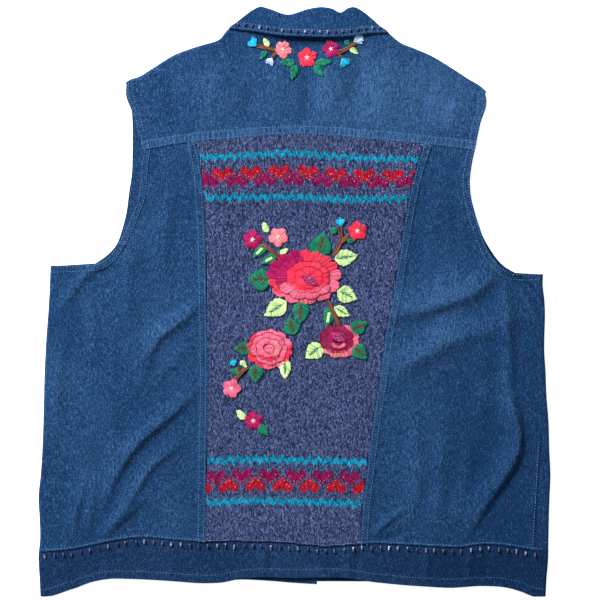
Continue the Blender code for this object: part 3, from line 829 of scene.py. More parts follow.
def fold_heights(x, y, folds=FOLDS):
    """Height of all folds at some places. Each fold is highest at the middle of its crest."""
    points = np.stack([x.ravel(), y.ravel()], axis=1)
    total = np.zeros(len(points))
    for height, left, right, rows in folds:
        crest = along(rows, CREST_STEPS + 1)
        reach = FOLD_REACH * max(left, right)
        inside = (points > crest.min(axis=0) - reach) & (points < crest.max(axis=0) + reach)
        spots = np.flatnonzero(inside.all(axis=1))
        aside, part = from_crest(crest, points[spots])
        width = np.where(aside > 0, left, right)
        total[spots] += height * 4 * part * (1 - part) * np.exp(-((aside / width) ** 2))
    return total.reshape(x.shape)


def ripple_heights(x, y):
    total = np.zeros_like(x)
    for length, degrees, phase, height in RIPPLES:
        way = math.radians(degrees)
        travel = x * math.cos(way) + y * math.sin(way)
        total += height * np.sin(math.tau * travel / length + math.radians(phase))
    return total


def floor_height(points):
    """Height of the fronts' outside, which faces the floor."""
    return LEAF_LIFT * smooth_step(points[..., 1], LEAF_LIFT_STARTS, LEAF_LIFT_ENDS)


def right_front_height(points):
    """Height of the right front's outside, with its creases."""
    return floor_height(points) + fold_heights(points[..., 0], points[..., 1], FRONT_CREASES)


def left_front_height(points):
    """Height of the left front's outside, which rises where it lies on the right front."""
    ramp_end = FRONT_EDGE_X["right"] - LAP_LEAD
    lap = LAP_LIFT * smooth_step(points[..., 0], ramp_end - LAP_RAMP, ramp_end)
    return right_front_height(points) + lap


def back_height(points):
    """Height of the back's outside, which faces up."""
    x, y = points[..., 0], points[..., 1]
    relief = fold_heights(x, y) + ripple_heights(x, y)
    return BACK_TOP + floor_height(points) + relief


def at_height(points, height):
    """Places from points, each (x, y), and a height for each."""
    return np.concatenate([points, height[..., None]], axis=-1)


def lifted(points, height):
    return at_height(points, height(points))


def rolled(edge, inward, seam, leaves, joins):
    """Points that take a panel round a fold line, from the layer it leaves to a seam on another.

    The result has a row for each point of the edge. Its first column is where the roll starts,
    and its last is the seam.
    """
    radius = np.abs(leaves(edge) - joins(edge)) / 2
    start = edge + inward * radius[:, None]
    first, last = leaves(start), joins(start)
    columns = []
    for angle in np.linspace(0.0, np.pi, ROLL_STEPS + 1):
        place = start - inward * (radius * np.sin(angle))[:, None]
        height = (first + last) / 2 + (first - last) / 2 * np.cos(angle)
        columns.append(at_height(place, height))
    columns.append(lifted(seam, joins))
    return np.stack(columns, axis=1)


def outer_edge(side, start, end, rows, leaves, joins=None):
    """A panel's edge at the side, and the roll that goes on from it where it joins another layer."""
    seam = over_y(SIDE_SEAM[side], start, end, rows)
    if joins is None:
        return seam, None
    fold = over_y(FOLD_EDGE[side], start, end, rows)
    inward = np.array([[-SIGN[side], 0.0]])
    roll = rolled(fold, inward, seam, leaves, joins)
    return roll[:, 0, :2], roll


def with_roll(grid, roll):
    """A panel's grid with its roll as more columns before the first."""
    if roll is None:
        return grid
    return np.concatenate([roll[:, :0:-1], grid], axis=1)


def band_seam_between(layer, start, end, columns):
    return snapped(over_x(BAND_SEAM[layer], start[0], end[0], columns + 1), start, end)


def on_band_seam(layer, x):
    return over_x(BAND_SEAM[layer], x, x, 1)[0]


def armhole_panel(layer, outer, roll, armhole, inner_low, inner_high, top, columns, height):
    """Grids of a panel with an armhole: beside it below the arm, inside that, and above it."""
    armpit = armhole[0]
    foot = on_band_seam(layer, armpit[0])
    below_arm = straight(foot, armpit, len(outer))
    underarm = straight(outer[-1], armpit, columns[0] + 1)
    level = straight(armpit, inner_low[-1], columns[1] + 1)
    beside = patch(band_seam_between(layer, outer[0], foot, columns[0]), underarm, outer, below_arm)
    inside = patch(band_seam_between(layer, foot, inner_low[0], columns[1]), level, below_arm, inner_low)
    above = patch(level, top, armhole, inner_high)
    return [with_roll(lifted(beside, height), roll), lifted(inside, height), lifted(above, height)]


def left_of(line):
    """Directions to the left of a line's way, at each of its points."""
    way = np.gradient(line, axis=0)
    way /= np.linalg.norm(way, axis=1)[:, None]
    return np.stack([-way[:, 1], way[:, 0]], axis=1)


def shoulder_edge(side):
    """The shoulder's fold line and the directions from it into the vest."""
    edge = along(SHOULDER[side], SHOULDER_COLUMNS + 1)
    return edge, -left_of(edge)


def shoulder_seam(side, columns):
    """The seam of yoke and front, a reach in from the fold line on the front's layer."""
    edge, inward = shoulder_edge(side)
    return along(edge + inward * SHOULDER_REACH, columns + 1)


def shoulder_roll(side):
    edge, inward = shoulder_edge(side)
    return rolled(edge, inward, edge + inward * SHOULDER_REACH, back_height, floor_height)


def yoke_seam_between(start_x, end_x, columns):
    return over_x(YOKE_SEAM, start_x, end_x, columns + 1)


def under_roll(bottom, roll, left, right):
    """Grid of the yoke below a shoulder, and on round the shoulder."""
    flat = patch(bottom, roll[:, 0, :2], left, right)
    return np.concatenate([lifted(flat, back_height), roll.transpose(1, 0, 2)[1:]], axis=0)


def back_yoke():
    rows = YOKE_ROWS + 1
    left_roll, right_roll = shoulder_roll("left"), shoulder_roll("right")
    left_neck, right_neck = left_roll[-1, 0, :2], right_roll[0, 0, :2]
    start, end = YOKE_SEAM[0][0], YOKE_SEAM[-1][0]
    left_seam = yoke_seam_between(start, left_neck[0], SHOULDER_COLUMNS)
    neck_seam = yoke_seam_between(left_neck[0], right_neck[0], NECK_COLUMNS)
    right_seam = yoke_seam_between(right_neck[0], end, SHOULDER_COLUMNS)
    left_line = straight(left_seam[-1], left_neck, rows)
    right_line = straight(right_seam[0], right_neck, rows)
    left_armhole = snapped(along(YOKE_ARMHOLE["left"], rows), left_seam[0], left_roll[0, 0, :2])
    right_armhole = snapped(along(YOKE_ARMHOLE["right"], rows), right_seam[-1], right_roll[-1, 0, :2])
    neck = over_x(NECKLINE, left_neck[0], right_neck[0], NECK_COLUMNS + 1)
    neck = snapped(neck, left_neck, right_neck)
    middle = lifted(patch(neck_seam, neck, left_line, right_line), back_height)
    return [
        under_roll(left_seam, left_roll, left_armhole, left_line),
        middle,
        under_roll(right_seam, right_roll, right_line, right_armhole),
    ]


def back_centre():
    left, right = PRINCESS["left"], PRINCESS["right"]
    bottom = over_x(BAND_SEAM["back"], left[0][0], right[0][0], CENTRE_COLUMNS + 1)
    top = yoke_seam_between(left[-1][0], right[-1][0], CENTRE_COLUMNS)
    rows = CENTRE_ROWS + 1
    left_line = snapped(over_y(left, bottom[0, 1], top[0, 1], rows), bottom[0], top[0])
    right_line = snapped(over_y(right, bottom[-1, 1], top[-1, 1], rows), bottom[-1], top[-1])
    return [lifted(patch(bottom, top, left_line, right_line), back_height)]


def back_side(side):
    """A side back: the left one rolls under the vest, and the right one stops at its seam on top."""
    joins = floor_height if side == "left" else None
    low = on_band_seam("back", FOLD_EDGE[side][0][0])[1]
    high = FOLD_EDGE[side][-1][1]
    outer, roll = outer_edge(side, low, high, LOW_ROWS + 1, back_height, joins)
    princess = PRINCESS[side]
    armhole = along(BACK_ARMHOLE[side], HIGH_ROWS + 1)
    corner = on_band_seam("back", princess[0][0])
    top = yoke_seam_between(armhole[-1, 0], princess[-1][0], INSIDE_COLUMNS)
    inner_low = over_y(princess, corner[1], armhole[0, 1], LOW_ROWS + 1)
    inner_high = over_y(princess, armhole[0, 1], top[-1, 1], HIGH_ROWS + 1)
    inner_low = snapped(inner_low, corner, inner_low[-1])
    inner_high = snapped(inner_high, inner_low[-1], top[-1])
    columns = (BESIDE_COLUMNS, INSIDE_COLUMNS)
    return armhole_panel("back", outer, roll, armhole, inner_low, inner_high, top, columns, back_height)


def front_layers(side):
    """Heights of a front's outside and of the layer that it rolls up to, if it does."""
    if side == "left":
        return left_front_height, None
    return right_front_height, back_height


def front(side):
    """A front: the left one stops at its seam under the vest, and the right one rolls up round it."""
    height, joins = front_layers(side)
    low = on_band_seam("front", FOLD_EDGE[side][0][0])[1]
    high = FOLD_EDGE[side][-1][1]
    outer, roll = outer_edge(side, low, high, FRONT_LOW_ROWS + 1, floor_height, joins)
    top = shoulder_seam(side, FRONT_INSIDE_COLUMNS)
    if side == "right":
        top = top[::-1]
    armhole = along(FRONT_ARMHOLE[side], FRONT_HIGH_ROWS + 1)
    armhole = snapped(armhole, armhole[0], top[0])
    corner = on_band_seam("front", FRONT_EDGE_X[side])
    level = np.array([FRONT_EDGE_X[side], armhole[0, 1]])
    inner_low = straight(corner, level, FRONT_LOW_ROWS + 1)
    inner_high = snapped(along((level, *FRONT_NECK[side]), FRONT_HIGH_ROWS + 1), level, top[-1])
    columns = (FRONT_BESIDE_COLUMNS, FRONT_INSIDE_COLUMNS)
    return armhole_panel("front", outer, roll, armhole, inner_low, inner_high, top, columns, height)


def back_band():
    """The band rolls under at the left and stops at the seam on top at the right."""
    rows = BAND_ROWS + 1
    start = on_band_seam("back", FOLD_EDGE["left"][0][0])
    end = on_band_seam("back", FOLD_EDGE["right"][0][0])
    low = FOLD_EDGE["left"][0][1]
    outer, roll = outer_edge("left", low, start[1], rows, back_height, floor_height)
    inner = outer_edge("right", FOLD_EDGE["right"][0][1], end[1], rows, back_height)[0]
    hem = over_x(BAND_HEM, outer[0, 0], inner[0, 0], BAND_COLUMNS + 1)
    top = band_seam_between("back", outer[-1], inner[-1], BAND_COLUMNS)
    bottom = snapped(hem, outer[0], inner[0])
    return [with_roll(lifted(patch(bottom, top, outer, inner), back_height), roll)]


def front_band(side):
    height, joins = front_layers(side)
    rows = FRONT_BAND_ROWS + 1
    seam = on_band_seam("front", FOLD_EDGE[side][0][0])
    outer, roll = outer_edge(side, FOLD_EDGE[side][0][1], seam[1], rows, floor_height, joins)
    x = FRONT_EDGE_X[side]
    hem = over_x(FRONT_HEM[side], outer[0, 0], x, FRONT_BAND_COLUMNS + 1)
    bottom = snapped(hem, outer[0], hem[-1])
    top = band_seam_between("front", outer[-1], on_band_seam("front", x), FRONT_BAND_COLUMNS)
    inner = straight(bottom[-1], top[-1], rows)
    return [with_roll(lifted(patch(bottom, top, outer, inner), height), roll)]


def between(ends_and_middle, part):
    """A value that goes from its end value to its middle value and back along the collar."""
    ends, middle = ends_and_middle
    return ends + (middle - ends) * np.sin(np.pi * part)


def collar_lines(part):
    """Lines of the collar at some parts of its length: each place with its height."""
    left_neck, right_neck = shoulder_roll("left")[-1, 0, :2], shoulder_roll("right")[0, 0, :2]
    neck = at_part(NECKLINE, left_neck[0], right_neck[0], part)
    neck += (1 - part[:, None]) * (left_neck - neck[0]) + part[:, None] * (right_neck - neck[-1])
    edge = at_part(COLLAR_EDGE, COLLAR_EDGE[0][0], COLLAR_EDGE[-1][0], part)
    fold = at_part(COLLAR_FOLD, COLLAR_FOLD[0][0], COLLAR_FOLD[-1][0], part)
    outward = fold - edge
    outward /= np.linalg.norm(outward, axis=1)[:, None]
    radius, low = between(FOLD_RADIUS, part), between(FOLD_HEIGHT, part)
    turn = fold - outward * radius[:, None]
    return neck, edge, turn, outward, radius, low


def fall_row(edge, turn, radius, low, part, step):
    """A row of the collar's fall, each place a step of the way from the fold to the free edge."""
    high, free = low + 2 * radius, between(FREE_EDGE_HEIGHT, part)
    place = turn + (edge - turn) * step[:, None]
    ripple = ripple_heights(place[:, 0], place[:, 1]) * step
    return place, high + (free - high) * step + ripple


def collar():
    """Stand and fall in one sheet: up from the neck seam, round the fold and back to the free edge."""
    part = np.linspace(0.0, 1.0, COLLAR_COLUMNS + 1)
    neck, edge, turn, outward, radius, low = collar_lines(part)
    rows = []
    seam_height = back_height(neck) - COLLAR_WALL
    rise = turn - neck
    tuck = NECK_TUCK * rise / np.linalg.norm(rise, axis=1)[:, None]
    rows.append((neck - tuck, seam_height - NECK_TUCK_DROP))
    for step in np.linspace(0.0, 1.0, STAND_STEPS + 1)[:-1]:
        rows.append((neck + (turn - neck) * step, seam_height + (low - seam_height) * step))
    for angle in np.linspace(0.0, np.pi, ROLL_STEPS + 1):
        place = turn + outward * (radius * np.sin(angle))[:, None]
        rows.append((place, low + radius * (1 - np.cos(angle))))
    for step in np.linspace(0.0, 1.0, FALL_STEPS + 1)[1:]:
        rows.append(fall_row(edge, turn, radius, low, part, np.full(len(part), step)))
    return [np.stack([at_height(place, height) for place, height in rows])]


def collar_leaf(side):
    """The collar's end, flat on the floor under a front."""
    inner = along(LEAF_INNER[side], LEAF_COLUMNS + 1)
    outer = along(LEAF_OUTER[side], LEAF_COLUMNS + 1)
    front_line = straight(outer[0], inner[0], LEAF_ROWS + 1)
    back_line = straight(outer[-1], inner[-1], LEAF_ROWS + 1)
    flat = patch(outer, inner, front_line, back_line)
    return [at_height(flat, np.zeros(flat.shape[:-1]))]


def area_from_above(grid):
    """Area of a grid seen from above, below zero where its faces point down."""
    one = grid[1:, 1:, :2] - grid[:-1, :-1, :2]
    other = grid[1:, :-1, :2] - grid[:-1, 1:, :2]
    return (one[..., 0] * other[..., 1] - one[..., 1] * other[..., 0]).sum() / 2


def add_grid(mesh, grid, facing):
    rows, columns = grid.shape[:2]
    turned = area_from_above(grid) * facing < 0
    verts = [[mesh.verts.new(Vector(point) * MM) for point in row] for row in grid]
    for row in range(rows - 1):
        for column in range(columns - 1):
            low, high = verts[row], verts[row + 1]
            corners = [low[column], low[column + 1], high[column + 1], high[column]]
            mesh.faces.new(corners[::-1] if turned else corners)


def draw_in(mesh, distance):
    """Moves a sheet's outline in, so that pieces which share a seam line stay apart."""
    ways = {}
    for edge in mesh.edges:
        if not edge.is_boundary:
            continue
        first, second = edge.verts
        run = (second.co - first.co).normalized()
        toward = edge.link_faces[0].calc_center_median() - first.co
        inward = (toward - run * toward.dot(run)).normalized()
        for vert in edge.verts:
            ways[vert] = ways.get(vert, Vector()) + inward
    for vert, way in ways.items():
        vert.co += way * (2 * distance / way.length_squared)


def seam_line(name):
    """Points of a sewn or worn line, about a step apart."""
    rows = np.array(SEAM_LINES[name], float)
    length = np.hypot(*np.diff(rows, axis=0).T).sum()
    return along(rows, int(length / LINE_STEP) + 1)


def near(points, line):
    """How far each point is from a line, and how far along the line its nearest place is."""
    distances, travels = [], []
    for some in np.array_split(points, len(points) // NEAR_AT_ONCE + 1):
        apart = np.linalg.norm(some[:, None] - line[None], axis=2)
        travels.append(apart.argmin(axis=1) * LINE_STEP)
        distances.append(apart.min(axis=1))
    return np.concatenate(distances), np.concatenate(travels)


def strip_relief(points, strip):
    """Height and wear of the doubled cloth beside a line, with its puckers. A wear below 0 is painted shade.
    """
    name, width, rise, length, pucker, wear = strip
    distance, travel = near(points, seam_line(name))
    flat_top = 1 - smooth_step(distance, width - STRIP_EDGE, width + STRIP_EDGE)
    wander = sum(share * np.sin(travel / run) for run, share in WANDER)
    wave = np.sin(math.tau * travel / length + wander)
    hump = np.sin(np.pi * np.clip(distance / width, 0.0, 1.0))
    return rise * flat_top + pucker * wave * hump, wear * flat_top * (1 + WEAR_ON_PUCKERS * wave * hump)


def seam_relief(panel, points):
    """Height and wear that a panel's seams and edges add at some points, each (x, y), with painted shade
    where a strip's wear is below 0.
    """
    flat = points.reshape(-1, 2)
    height, wear = np.zeros(len(flat)), np.zeros(len(flat))
    for strip in STRIPS.get(panel, ()):
        more, worn = strip_relief(flat, strip)
        # A strip's wear, and painted shade where it is below 0
        height += more
        wear += worn
    return height.reshape(points.shape[:-1]), wear.reshape(points.shape[:-1])


def raised(panel, grids):
    """A panel's grids with the relief of its seams on the side that faces up."""
    result = []
    for grid in grids:
        height, _ = seam_relief(panel, grid[..., :2])
        on_top = smooth_step(grid[..., 2], RELIEF_STARTS, RELIEF_ENDS)
        lifted_grid = grid.copy()
        lifted_grid[..., 2] += height * on_top
        result.append(lifted_grid)
    return result


def surface(panel, points):
    """Places on the outside of a panel of the back, with the relief of its seams."""
    return at_height(points, back_height(points) + seam_relief(panel, points)[0])


def wear_and_shade_of(panel, data):
    """Wear at each vertex of a sheet, from its seams and its ridges, with painted light and shade: darker in
    some seam strips, in the folds' troughs and over the collar, and lighter or darker in patches.
    """
    flat = np.empty(len(data.vertices) * 3)
    data.vertices.foreach_get("co", flat)
    places = flat.reshape(-1, 3) / MM
    on_top = smooth_step(places[:, 2], RELIEF_STARTS, RELIEF_ENDS)
    ridges = fold_heights(places[:, 0], places[:, 1])
    wear = seam_relief(panel, places[:, :2])[1] + ridges * FOLD_WEAR_AND_SHADE + PANEL_PAINTED_SHADE.get(panel, 0.0)
    # Patches of painted light and shade
    for x, y, wide, tall, more in PAINTED_LIGHT_PATCHES:
        wear += more * np.exp(-(((places[:, 0] - x) / wide) ** 2) - ((places[:, 1] - y) / tall) ** 2)
    return wear * on_top


def add_values(data, name, kind, values):
    """A named value for each vertex of a mesh."""
    field = {"FLOAT": "value", "FLOAT_VECTOR": "vector", "FLOAT_COLOR": "color"}[kind]
    attribute = data.attributes.new(name, kind, "POINT")
    attribute.data.foreach_set(field, np.asarray(values, np.float32).ravel())


def new_object(name, data):
    thing = bpy.data.objects.new(name, data)
    bpy.context.collection.objects.link(thing)
    return thing


def settle(piece):
    """Turns what a piece's modifiers make into its own plain mesh."""
    graph = bpy.context.evaluated_depsgraph_get()
    made = bpy.data.meshes.new_from_object(piece.evaluated_get(graph))
    old = piece.data
    piece.modifiers.clear()
    piece.data = made
    made.name = piece.name
    bpy.data.meshes.remove(old)


def cloth(node, grids, wall, facing, material):
    """A sheet of cloth that stands for a node, from its grids of outside points."""
    mesh = bmesh.new()
    for grid in grids:
        add_grid(mesh, grid, facing)
    bmesh.ops.remove_doubles(mesh, verts=mesh.verts, dist=WELD)
    draw_in(mesh, SEAM_GAP / 2 * MM)
    data = bpy.data.meshes.new(f"{node}_cloth")
    mesh.to_mesh(data)
    mesh.free()
    # Wear, and painted light and shade, at each vertex
    add_values(data, "wear", "FLOAT", wear_and_shade_of(node, data))
    data.materials.append(material)
    piece = new_object(f"{node}_cloth", data)
    thickness = piece.modifiers.new("Wall", "SOLIDIFY")
    thickness.thickness = wall * MM
    thickness.offset = -1.0
    settle(piece)
    piece.data.shade_smooth()
    piece.data.set_sharp_from_angle(angle=math.radians(SHARP_ANGLE))
    declare_sheet(piece, node)


def declare_sheet(piece, node):
    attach(piece, "root")
    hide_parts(node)


def declare_trim(piece):
    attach(piece, "root")


class Nodes:
    """Adds nodes to a tree, and sets or joins their inputs by name."""

    def __init__(self, tree):
        self.tree = tree

    def add(self, kind, inputs=None, **settings):
        node = self.tree.nodes.new(kind)
        for name, value in settings.items():
            setattr(node, name, value)
        for name, value in (inputs or {}).items():
            self.give(node.inputs[name], value)
        return node

    def give(self, socket, value):
        if isinstance(value, bpy.types.NodeSocket):
            self.tree.links.new(value, socket)
        else:
            socket.default_value = value

    def math(self, operation, *values):
        node = self.tree.nodes.new("ShaderNodeMath")
        node.operation = operation
        for place, value in enumerate(values):
            self.give(node.inputs[place], value)
        return node.outputs[0]

    def noise(self, place, grains):
        """Noise between 0 and 1, with its grains in each metre along x, y and z."""
        inputs = {"Vector": place, "Location": OFF_LATTICE, "Scale": grains}
        mapping = self.add("ShaderNodeMapping", inputs)
        inputs = {"Vector": mapping.outputs[0], "Scale": 1.0, "Detail": NOISE_DETAIL}
        return self.add("ShaderNodeTexNoise", inputs).outputs["Fac"]

    def swing(self, noise, amount):
        """Noise as a change to both sides of 0, an amount from end to end."""
        return self.math("MULTIPLY_ADD", noise, amount, -0.5 * amount)

    def scaled(self, vector, amount):
        node = self.add("ShaderNodeVectorMath", {0: vector}, operation="SCALE")
        self.give(node.inputs["Scale"], amount)
        return node.outputs[0]

    def relief(self, shader, height, strength, depth):
        """Fine bumps on a shader's surface."""
        bump = self.add("ShaderNodeBump", {"Height": height, "Strength": strength, "Distance": depth})
        self.give(shader.inputs["Normal"], bump.outputs["Normal"])

    def copies(self, points, shape, turn, size):
        """A shape set on points, each with its turn and size."""
        inputs = {"Points": points, "Instance": shape, "Rotation": turn, "Scale": size}
        return self.add("GeometryNodeInstanceOnPoints", inputs).outputs[0]


def new_material(name):
    """A new material, its nodes, its shader and its places."""
    material = bpy.data.materials.new(name)
    material.use_nodes = True
    nodes = Nodes(material.node_tree)
    shader = material.node_tree.nodes["Principled BSDF"]
    place = nodes.add("ShaderNodeTexCoord").outputs["Object"]
    return material, nodes, shader, place


def set_finish(shader, finish):
    roughness, gloss = finish
    shader.inputs["Roughness"].default_value = roughness
    shader.inputs["Specular IOR Level"].default_value = gloss


def denim_material(name, deep, plain, worn):
    """Twill with slubs along its warp, flecks, clouds of fading, and paler cloth where it is worn. It is
    also lighter or darker where light and shade are painted on.
    """
    material, nodes, shader, place = new_material(name)
    slubs = nodes.noise(place, SLUB_GRAINS)
    flecks = nodes.noise(place, FLECK_GRAINS)
    clouds = nodes.noise(place, CLOUD_GRAINS)
    # Wear, and painted light and shade, from each vertex
    wear = nodes.add("ShaderNodeAttribute", attribute_name="wear").outputs["Fac"]
    paleness = nodes.math("MULTIPLY_ADD", wear, WEAR_AND_SHADE_STRENGTH, PLAIN_AT)
    for noise, amount in ((slubs, SLUB_FADE), (flecks, FLECK_FADE), (clouds, CLOUD_FADE)):
        paleness = nodes.math("ADD", paleness, nodes.swing(noise, amount))
    colours = nodes.add("ShaderNodeValToRGB", {"Fac": paleness})
    ramp = colours.color_ramp.elements
    ramp[0].color, ramp[1].color = (*deep, 1.0), (*worn, 1.0)
    ramp.new(PLAIN_AT).color = (*plain, 1.0)
    nodes.give(shader.inputs["Base Color"], colours.outputs["Color"])
    turned = nodes.add("ShaderNodeMapping", {"Vector": place, "Rotation": (0.0, 0.0, TWILL_TURN)})
    lines = {"Vector": turned.outputs[0], "Scale": TWILL_LINES, "Distortion": TWILL_DISTORTION}
    twill = nodes.add("ShaderNodeTexWave", lines).outputs["Fac"]
    rough = nodes.math("MULTIPLY_ADD", twill, TWILL_SHARE, nodes.math("ADD", slubs, flecks))
    nodes.relief(shader, rough, DENIM_RELIEF, FINE_DEPTH)
    set_finish(shader, DENIM_FINISH)
    return material


def toned_material(name, grains, contrast, finish):
    """A material that takes each small piece's own tone, up to some times lighter or darker in spots."""
    material, nodes, shader, place = new_material(name)
    tone = nodes.add("ShaderNodeAttribute", attribute_name="tone").outputs
    noise = nodes.noise(place, grains)
    spots = nodes.math("MULTIPLY", nodes.swing(noise, 2.0), tone["Alpha"])
    light = nodes.math("POWER", contrast, spots)
    nodes.give(shader.inputs["Base Color"], nodes.scaled(tone["Color"], light))
    nodes.relief(shader, noise, TONED_RELIEF, FINE_DEPTH)
    set_finish(shader, finish)
    return material


def grained_material(name, colour, least_light):
    """One colour, lighter and darker by its grain. Gives the nodes, the shader and the grain too."""
    material, nodes, shader, place = new_material(name)
    grain = nodes.noise(place, YARN_GRAINS)
    light = nodes.math("MULTIPLY_ADD", grain, GRAIN_LIGHT, least_light)
    nodes.give(shader.inputs["Base Color"], nodes.scaled(tuple(colour), light))
    return material, nodes, shader, grain


def knit_ground_material(colour):
    material, nodes, shader, grain = grained_material("knit_ground", colour, GROUND_LIGHT)
    nodes.relief(shader, grain, GROUND_RELIEF, GROUND_DEPTH)
    set_finish(shader, YARN_FINISH)
    return material


def thread_material(colour):
    material, _, shader, _ = grained_material("sewing_thread", colour, THREAD_LIGHT)
    set_finish(shader, THREAD_FINISH)
    return material


def new_tree(name, inputs):
    """A new tree of geometry nodes with named inputs. Gives its nodes and the inputs' sockets."""
    tree = bpy.data.node_groups.new(name, "GeometryNodeTree")
    tree.interface.new_socket("Geometry", in_out="INPUT", socket_type="NodeSocketGeometry")
    for label, kind in inputs.items():
        tree.interface.new_socket(label, in_out="INPUT", socket_type=kind)
    tree.interface.new_socket("Geometry", in_out="OUTPUT", socket_type="NodeSocketGeometry")
    nodes = Nodes(tree)
    return nodes, nodes.add("NodeGroupInput").outputs


def end_tree(nodes, shape, material, smooth=True):
    """Ends a tree: instances made real, smooth or faceted, and given their material."""
    real = nodes.add("GeometryNodeRealizeInstances", {"Geometry": shape}).outputs[0]
    inputs = {"Geometry": real, "Shade Smooth": smooth}
    shaded = nodes.add("GeometryNodeSetShadeSmooth", inputs).outputs[0]
    done = nodes.add("GeometryNodeSetMaterial", {"Geometry": shaded, "Material": material})
    nodes.add("NodeGroupOutput", {"Geometry": done.outputs[0]})
    return nodes.tree


def named_value(nodes, name, kind):
    node = nodes.add("GeometryNodeInputNamedAttribute", {"Name": name}, data_type=kind)
    return node.outputs["Attribute"]


def scatter_tree():
    """Sets a copy of one small shape on each point, by the point's own turn and size."""
    kinds = {"Shape": "NodeSocketObject", "Smooth": "NodeSocketBool", "Material": "NodeSocketMaterial"}
    nodes, inputs = new_tree("Scatter", kinds)
    shape = nodes.add("GeometryNodeObjectInfo", {"Object": inputs["Shape"]}).outputs["Geometry"]
    turn = nodes.add("FunctionNodeEulerToRotation", {0: named_value(nodes, "turn", "FLOAT_VECTOR")})
    size = named_value(nodes, "size", "FLOAT_VECTOR")
    copies = nodes.copies(inputs["Geometry"], shape, turn.outputs[0], size)
    return end_tree(nodes, copies, inputs["Material"], inputs["Smooth"])


def thread_tree():
    """Gives each run of edges a round thread, as thick as its points say."""
    nodes, inputs = new_tree("Threads", {"Sides": "NodeSocketInt", "Material": "NodeSocketMaterial"})
    curve = nodes.add("GeometryNodeMeshToCurve", {"Mesh": inputs["Geometry"]})
    ring = nodes.add("GeometryNodeCurvePrimitiveCircle", {"Resolution": inputs["Sides"], "Radius": 1.0})
    tube = nodes.add(
        "GeometryNodeCurveToMesh",
        {
            "Curve": curve.outputs[0],
            "Profile Curve": ring.outputs[0],
            "Scale": named_value(nodes, "thick", "FLOAT"),
            "Fill Caps": True,
        },
    )
    return end_tree(nodes, tube.outputs[0], inputs["Material"])


def sewing_tree():
    """Sets stitches along each run of edges, end to end with a gap."""
    sizes = {
        "Stitch Length": "NodeSocketFloat",
        "Gap": "NodeSocketFloat",
        "Thickness": "NodeSocketFloat",
        "Unevenness": "NodeSocketFloat",
        "Seed": "NodeSocketInt",
        "Material": "NodeSocketMaterial",
    }
    nodes, inputs = new_tree("Sewing", sizes)
    pitch = nodes.math("ADD", inputs["Stitch Length"], inputs["Gap"])
    curve = nodes.add("GeometryNodeMeshToCurve", {"Mesh": inputs["Geometry"]})
    spaced = nodes.add(
        "GeometryNodeResampleCurve", {"Curve": curve.outputs[0], "Length": pitch}, mode="LENGTH"
    )
    ball = {"Segments": STITCH_SEGMENTS, "Rings": STITCH_RINGS, "Radius": 1.0}
    stitch = nodes.add("GeometryNodeMeshUVSphere", ball)
    tangent = nodes.add("GeometryNodeInputTangent")
    turn = nodes.add("FunctionNodeAlignRotationToVector", {"Vector": tangent.outputs[0]}, axis="X")
    half = nodes.math("MULTIPLY", inputs["Stitch Length"], 0.5)
    radius = nodes.math("MULTIPLY", inputs["Thickness"], 0.5)
    size = nodes.add("ShaderNodeCombineXYZ", {"X": half, "Y": radius, "Z": radius})
    lowest = nodes.math("SUBTRACT", 1.0, inputs["Unevenness"])
    uneven = nodes.add("FunctionNodeRandomValue", {"Seed": inputs["Seed"]}, data_type="FLOAT")
    nodes.give(uneven.inputs[2], lowest)
    nodes.give(uneven.inputs[3], 1.0)
    scaled = nodes.scaled(size.outputs[0], uneven.outputs[1])
    copies = nodes.copies(spaced.outputs[0], stitch.outputs[0], turn.outputs[0], scaled)
    return end_tree(nodes, copies, inputs["Material"])


def run_tree(piece, tree, values):
    """Runs a tree on a piece with its named inputs set, and keeps the result as a plain mesh."""
    modifier = piece.modifiers.new(tree.name, "NODES")
    modifier.node_group = tree
    for item in tree.interface.items_tree:
        if item.in_out == "INPUT" and item.name in values:
            modifier[item.identifier] = values[item.name]
    settle(piece)


def with_alpha(tones):
    """Tones with a last column that says how spotted each is, 1 where they give none."""
    tones = np.asarray(tones, float)
    if tones.shape[1] == 4:
        return tones
    return np.concatenate([tones, np.ones((len(tones), 1))], axis=1)


def points_piece(name, places, turns, sizes, tones):
    data = bpy.data.meshes.new(name)
    data.from_pydata((np.asarray(places) * MM).tolist(), [], [])
    add_values(data, "turn", "FLOAT_VECTOR", turns)
    add_values(data, "size", "FLOAT_VECTOR", np.asarray(sizes) * MM)
    add_values(data, "tone", "FLOAT_COLOR", with_alpha(tones))
    return new_object(name, data)


def runs_piece(name, runs):
    """A piece whose edges join the points of each run."""
    data = bpy.data.meshes.new(name)
    places, edges = [], []
    for run in runs:
        start = len(places)
        places.extend((np.asarray(run) * MM).tolist())
        edges.extend((start + step, start + step + 1) for step in range(len(run) - 1))
    data.from_pydata(places, edges, [])
    return new_object(name, data)


def scatter(name, template, places, turns, sizes, tones, material, smooth=False):
    """Copies of a small shape on some places, as one piece."""
    piece = points_piece(name, places, turns, sizes, tones)
    shape = new_object(f"{name}_shape", template)
    run_tree(piece, scatter_tree(), {"Shape": shape, "Smooth": smooth, "Material": material})
    bpy.data.objects.remove(shape, do_unlink=True)
    return piece


def wale_x(wale, y, width):
    """Where a wale of the knit is at a height. Wales fan out a little upward."""
    return WALE_ZERO_X + wale * (width + WALE_FAN * (y - WALE_FAN_FROM) * width)


def row_sag(x, level):
    """How far a row of the knit hangs below its highest place."""
    levels = np.array([row[0] for row in ROW_SAG])
    sags = [through(np.array(SAG_X), np.array(row[1]), np.asarray(x, float)) for row in ROW_SAG]
    shares = [np.interp(level, levels, row) for row in np.eye(len(levels))]
    return sum(sag * share for sag, share in zip(sags, shares))


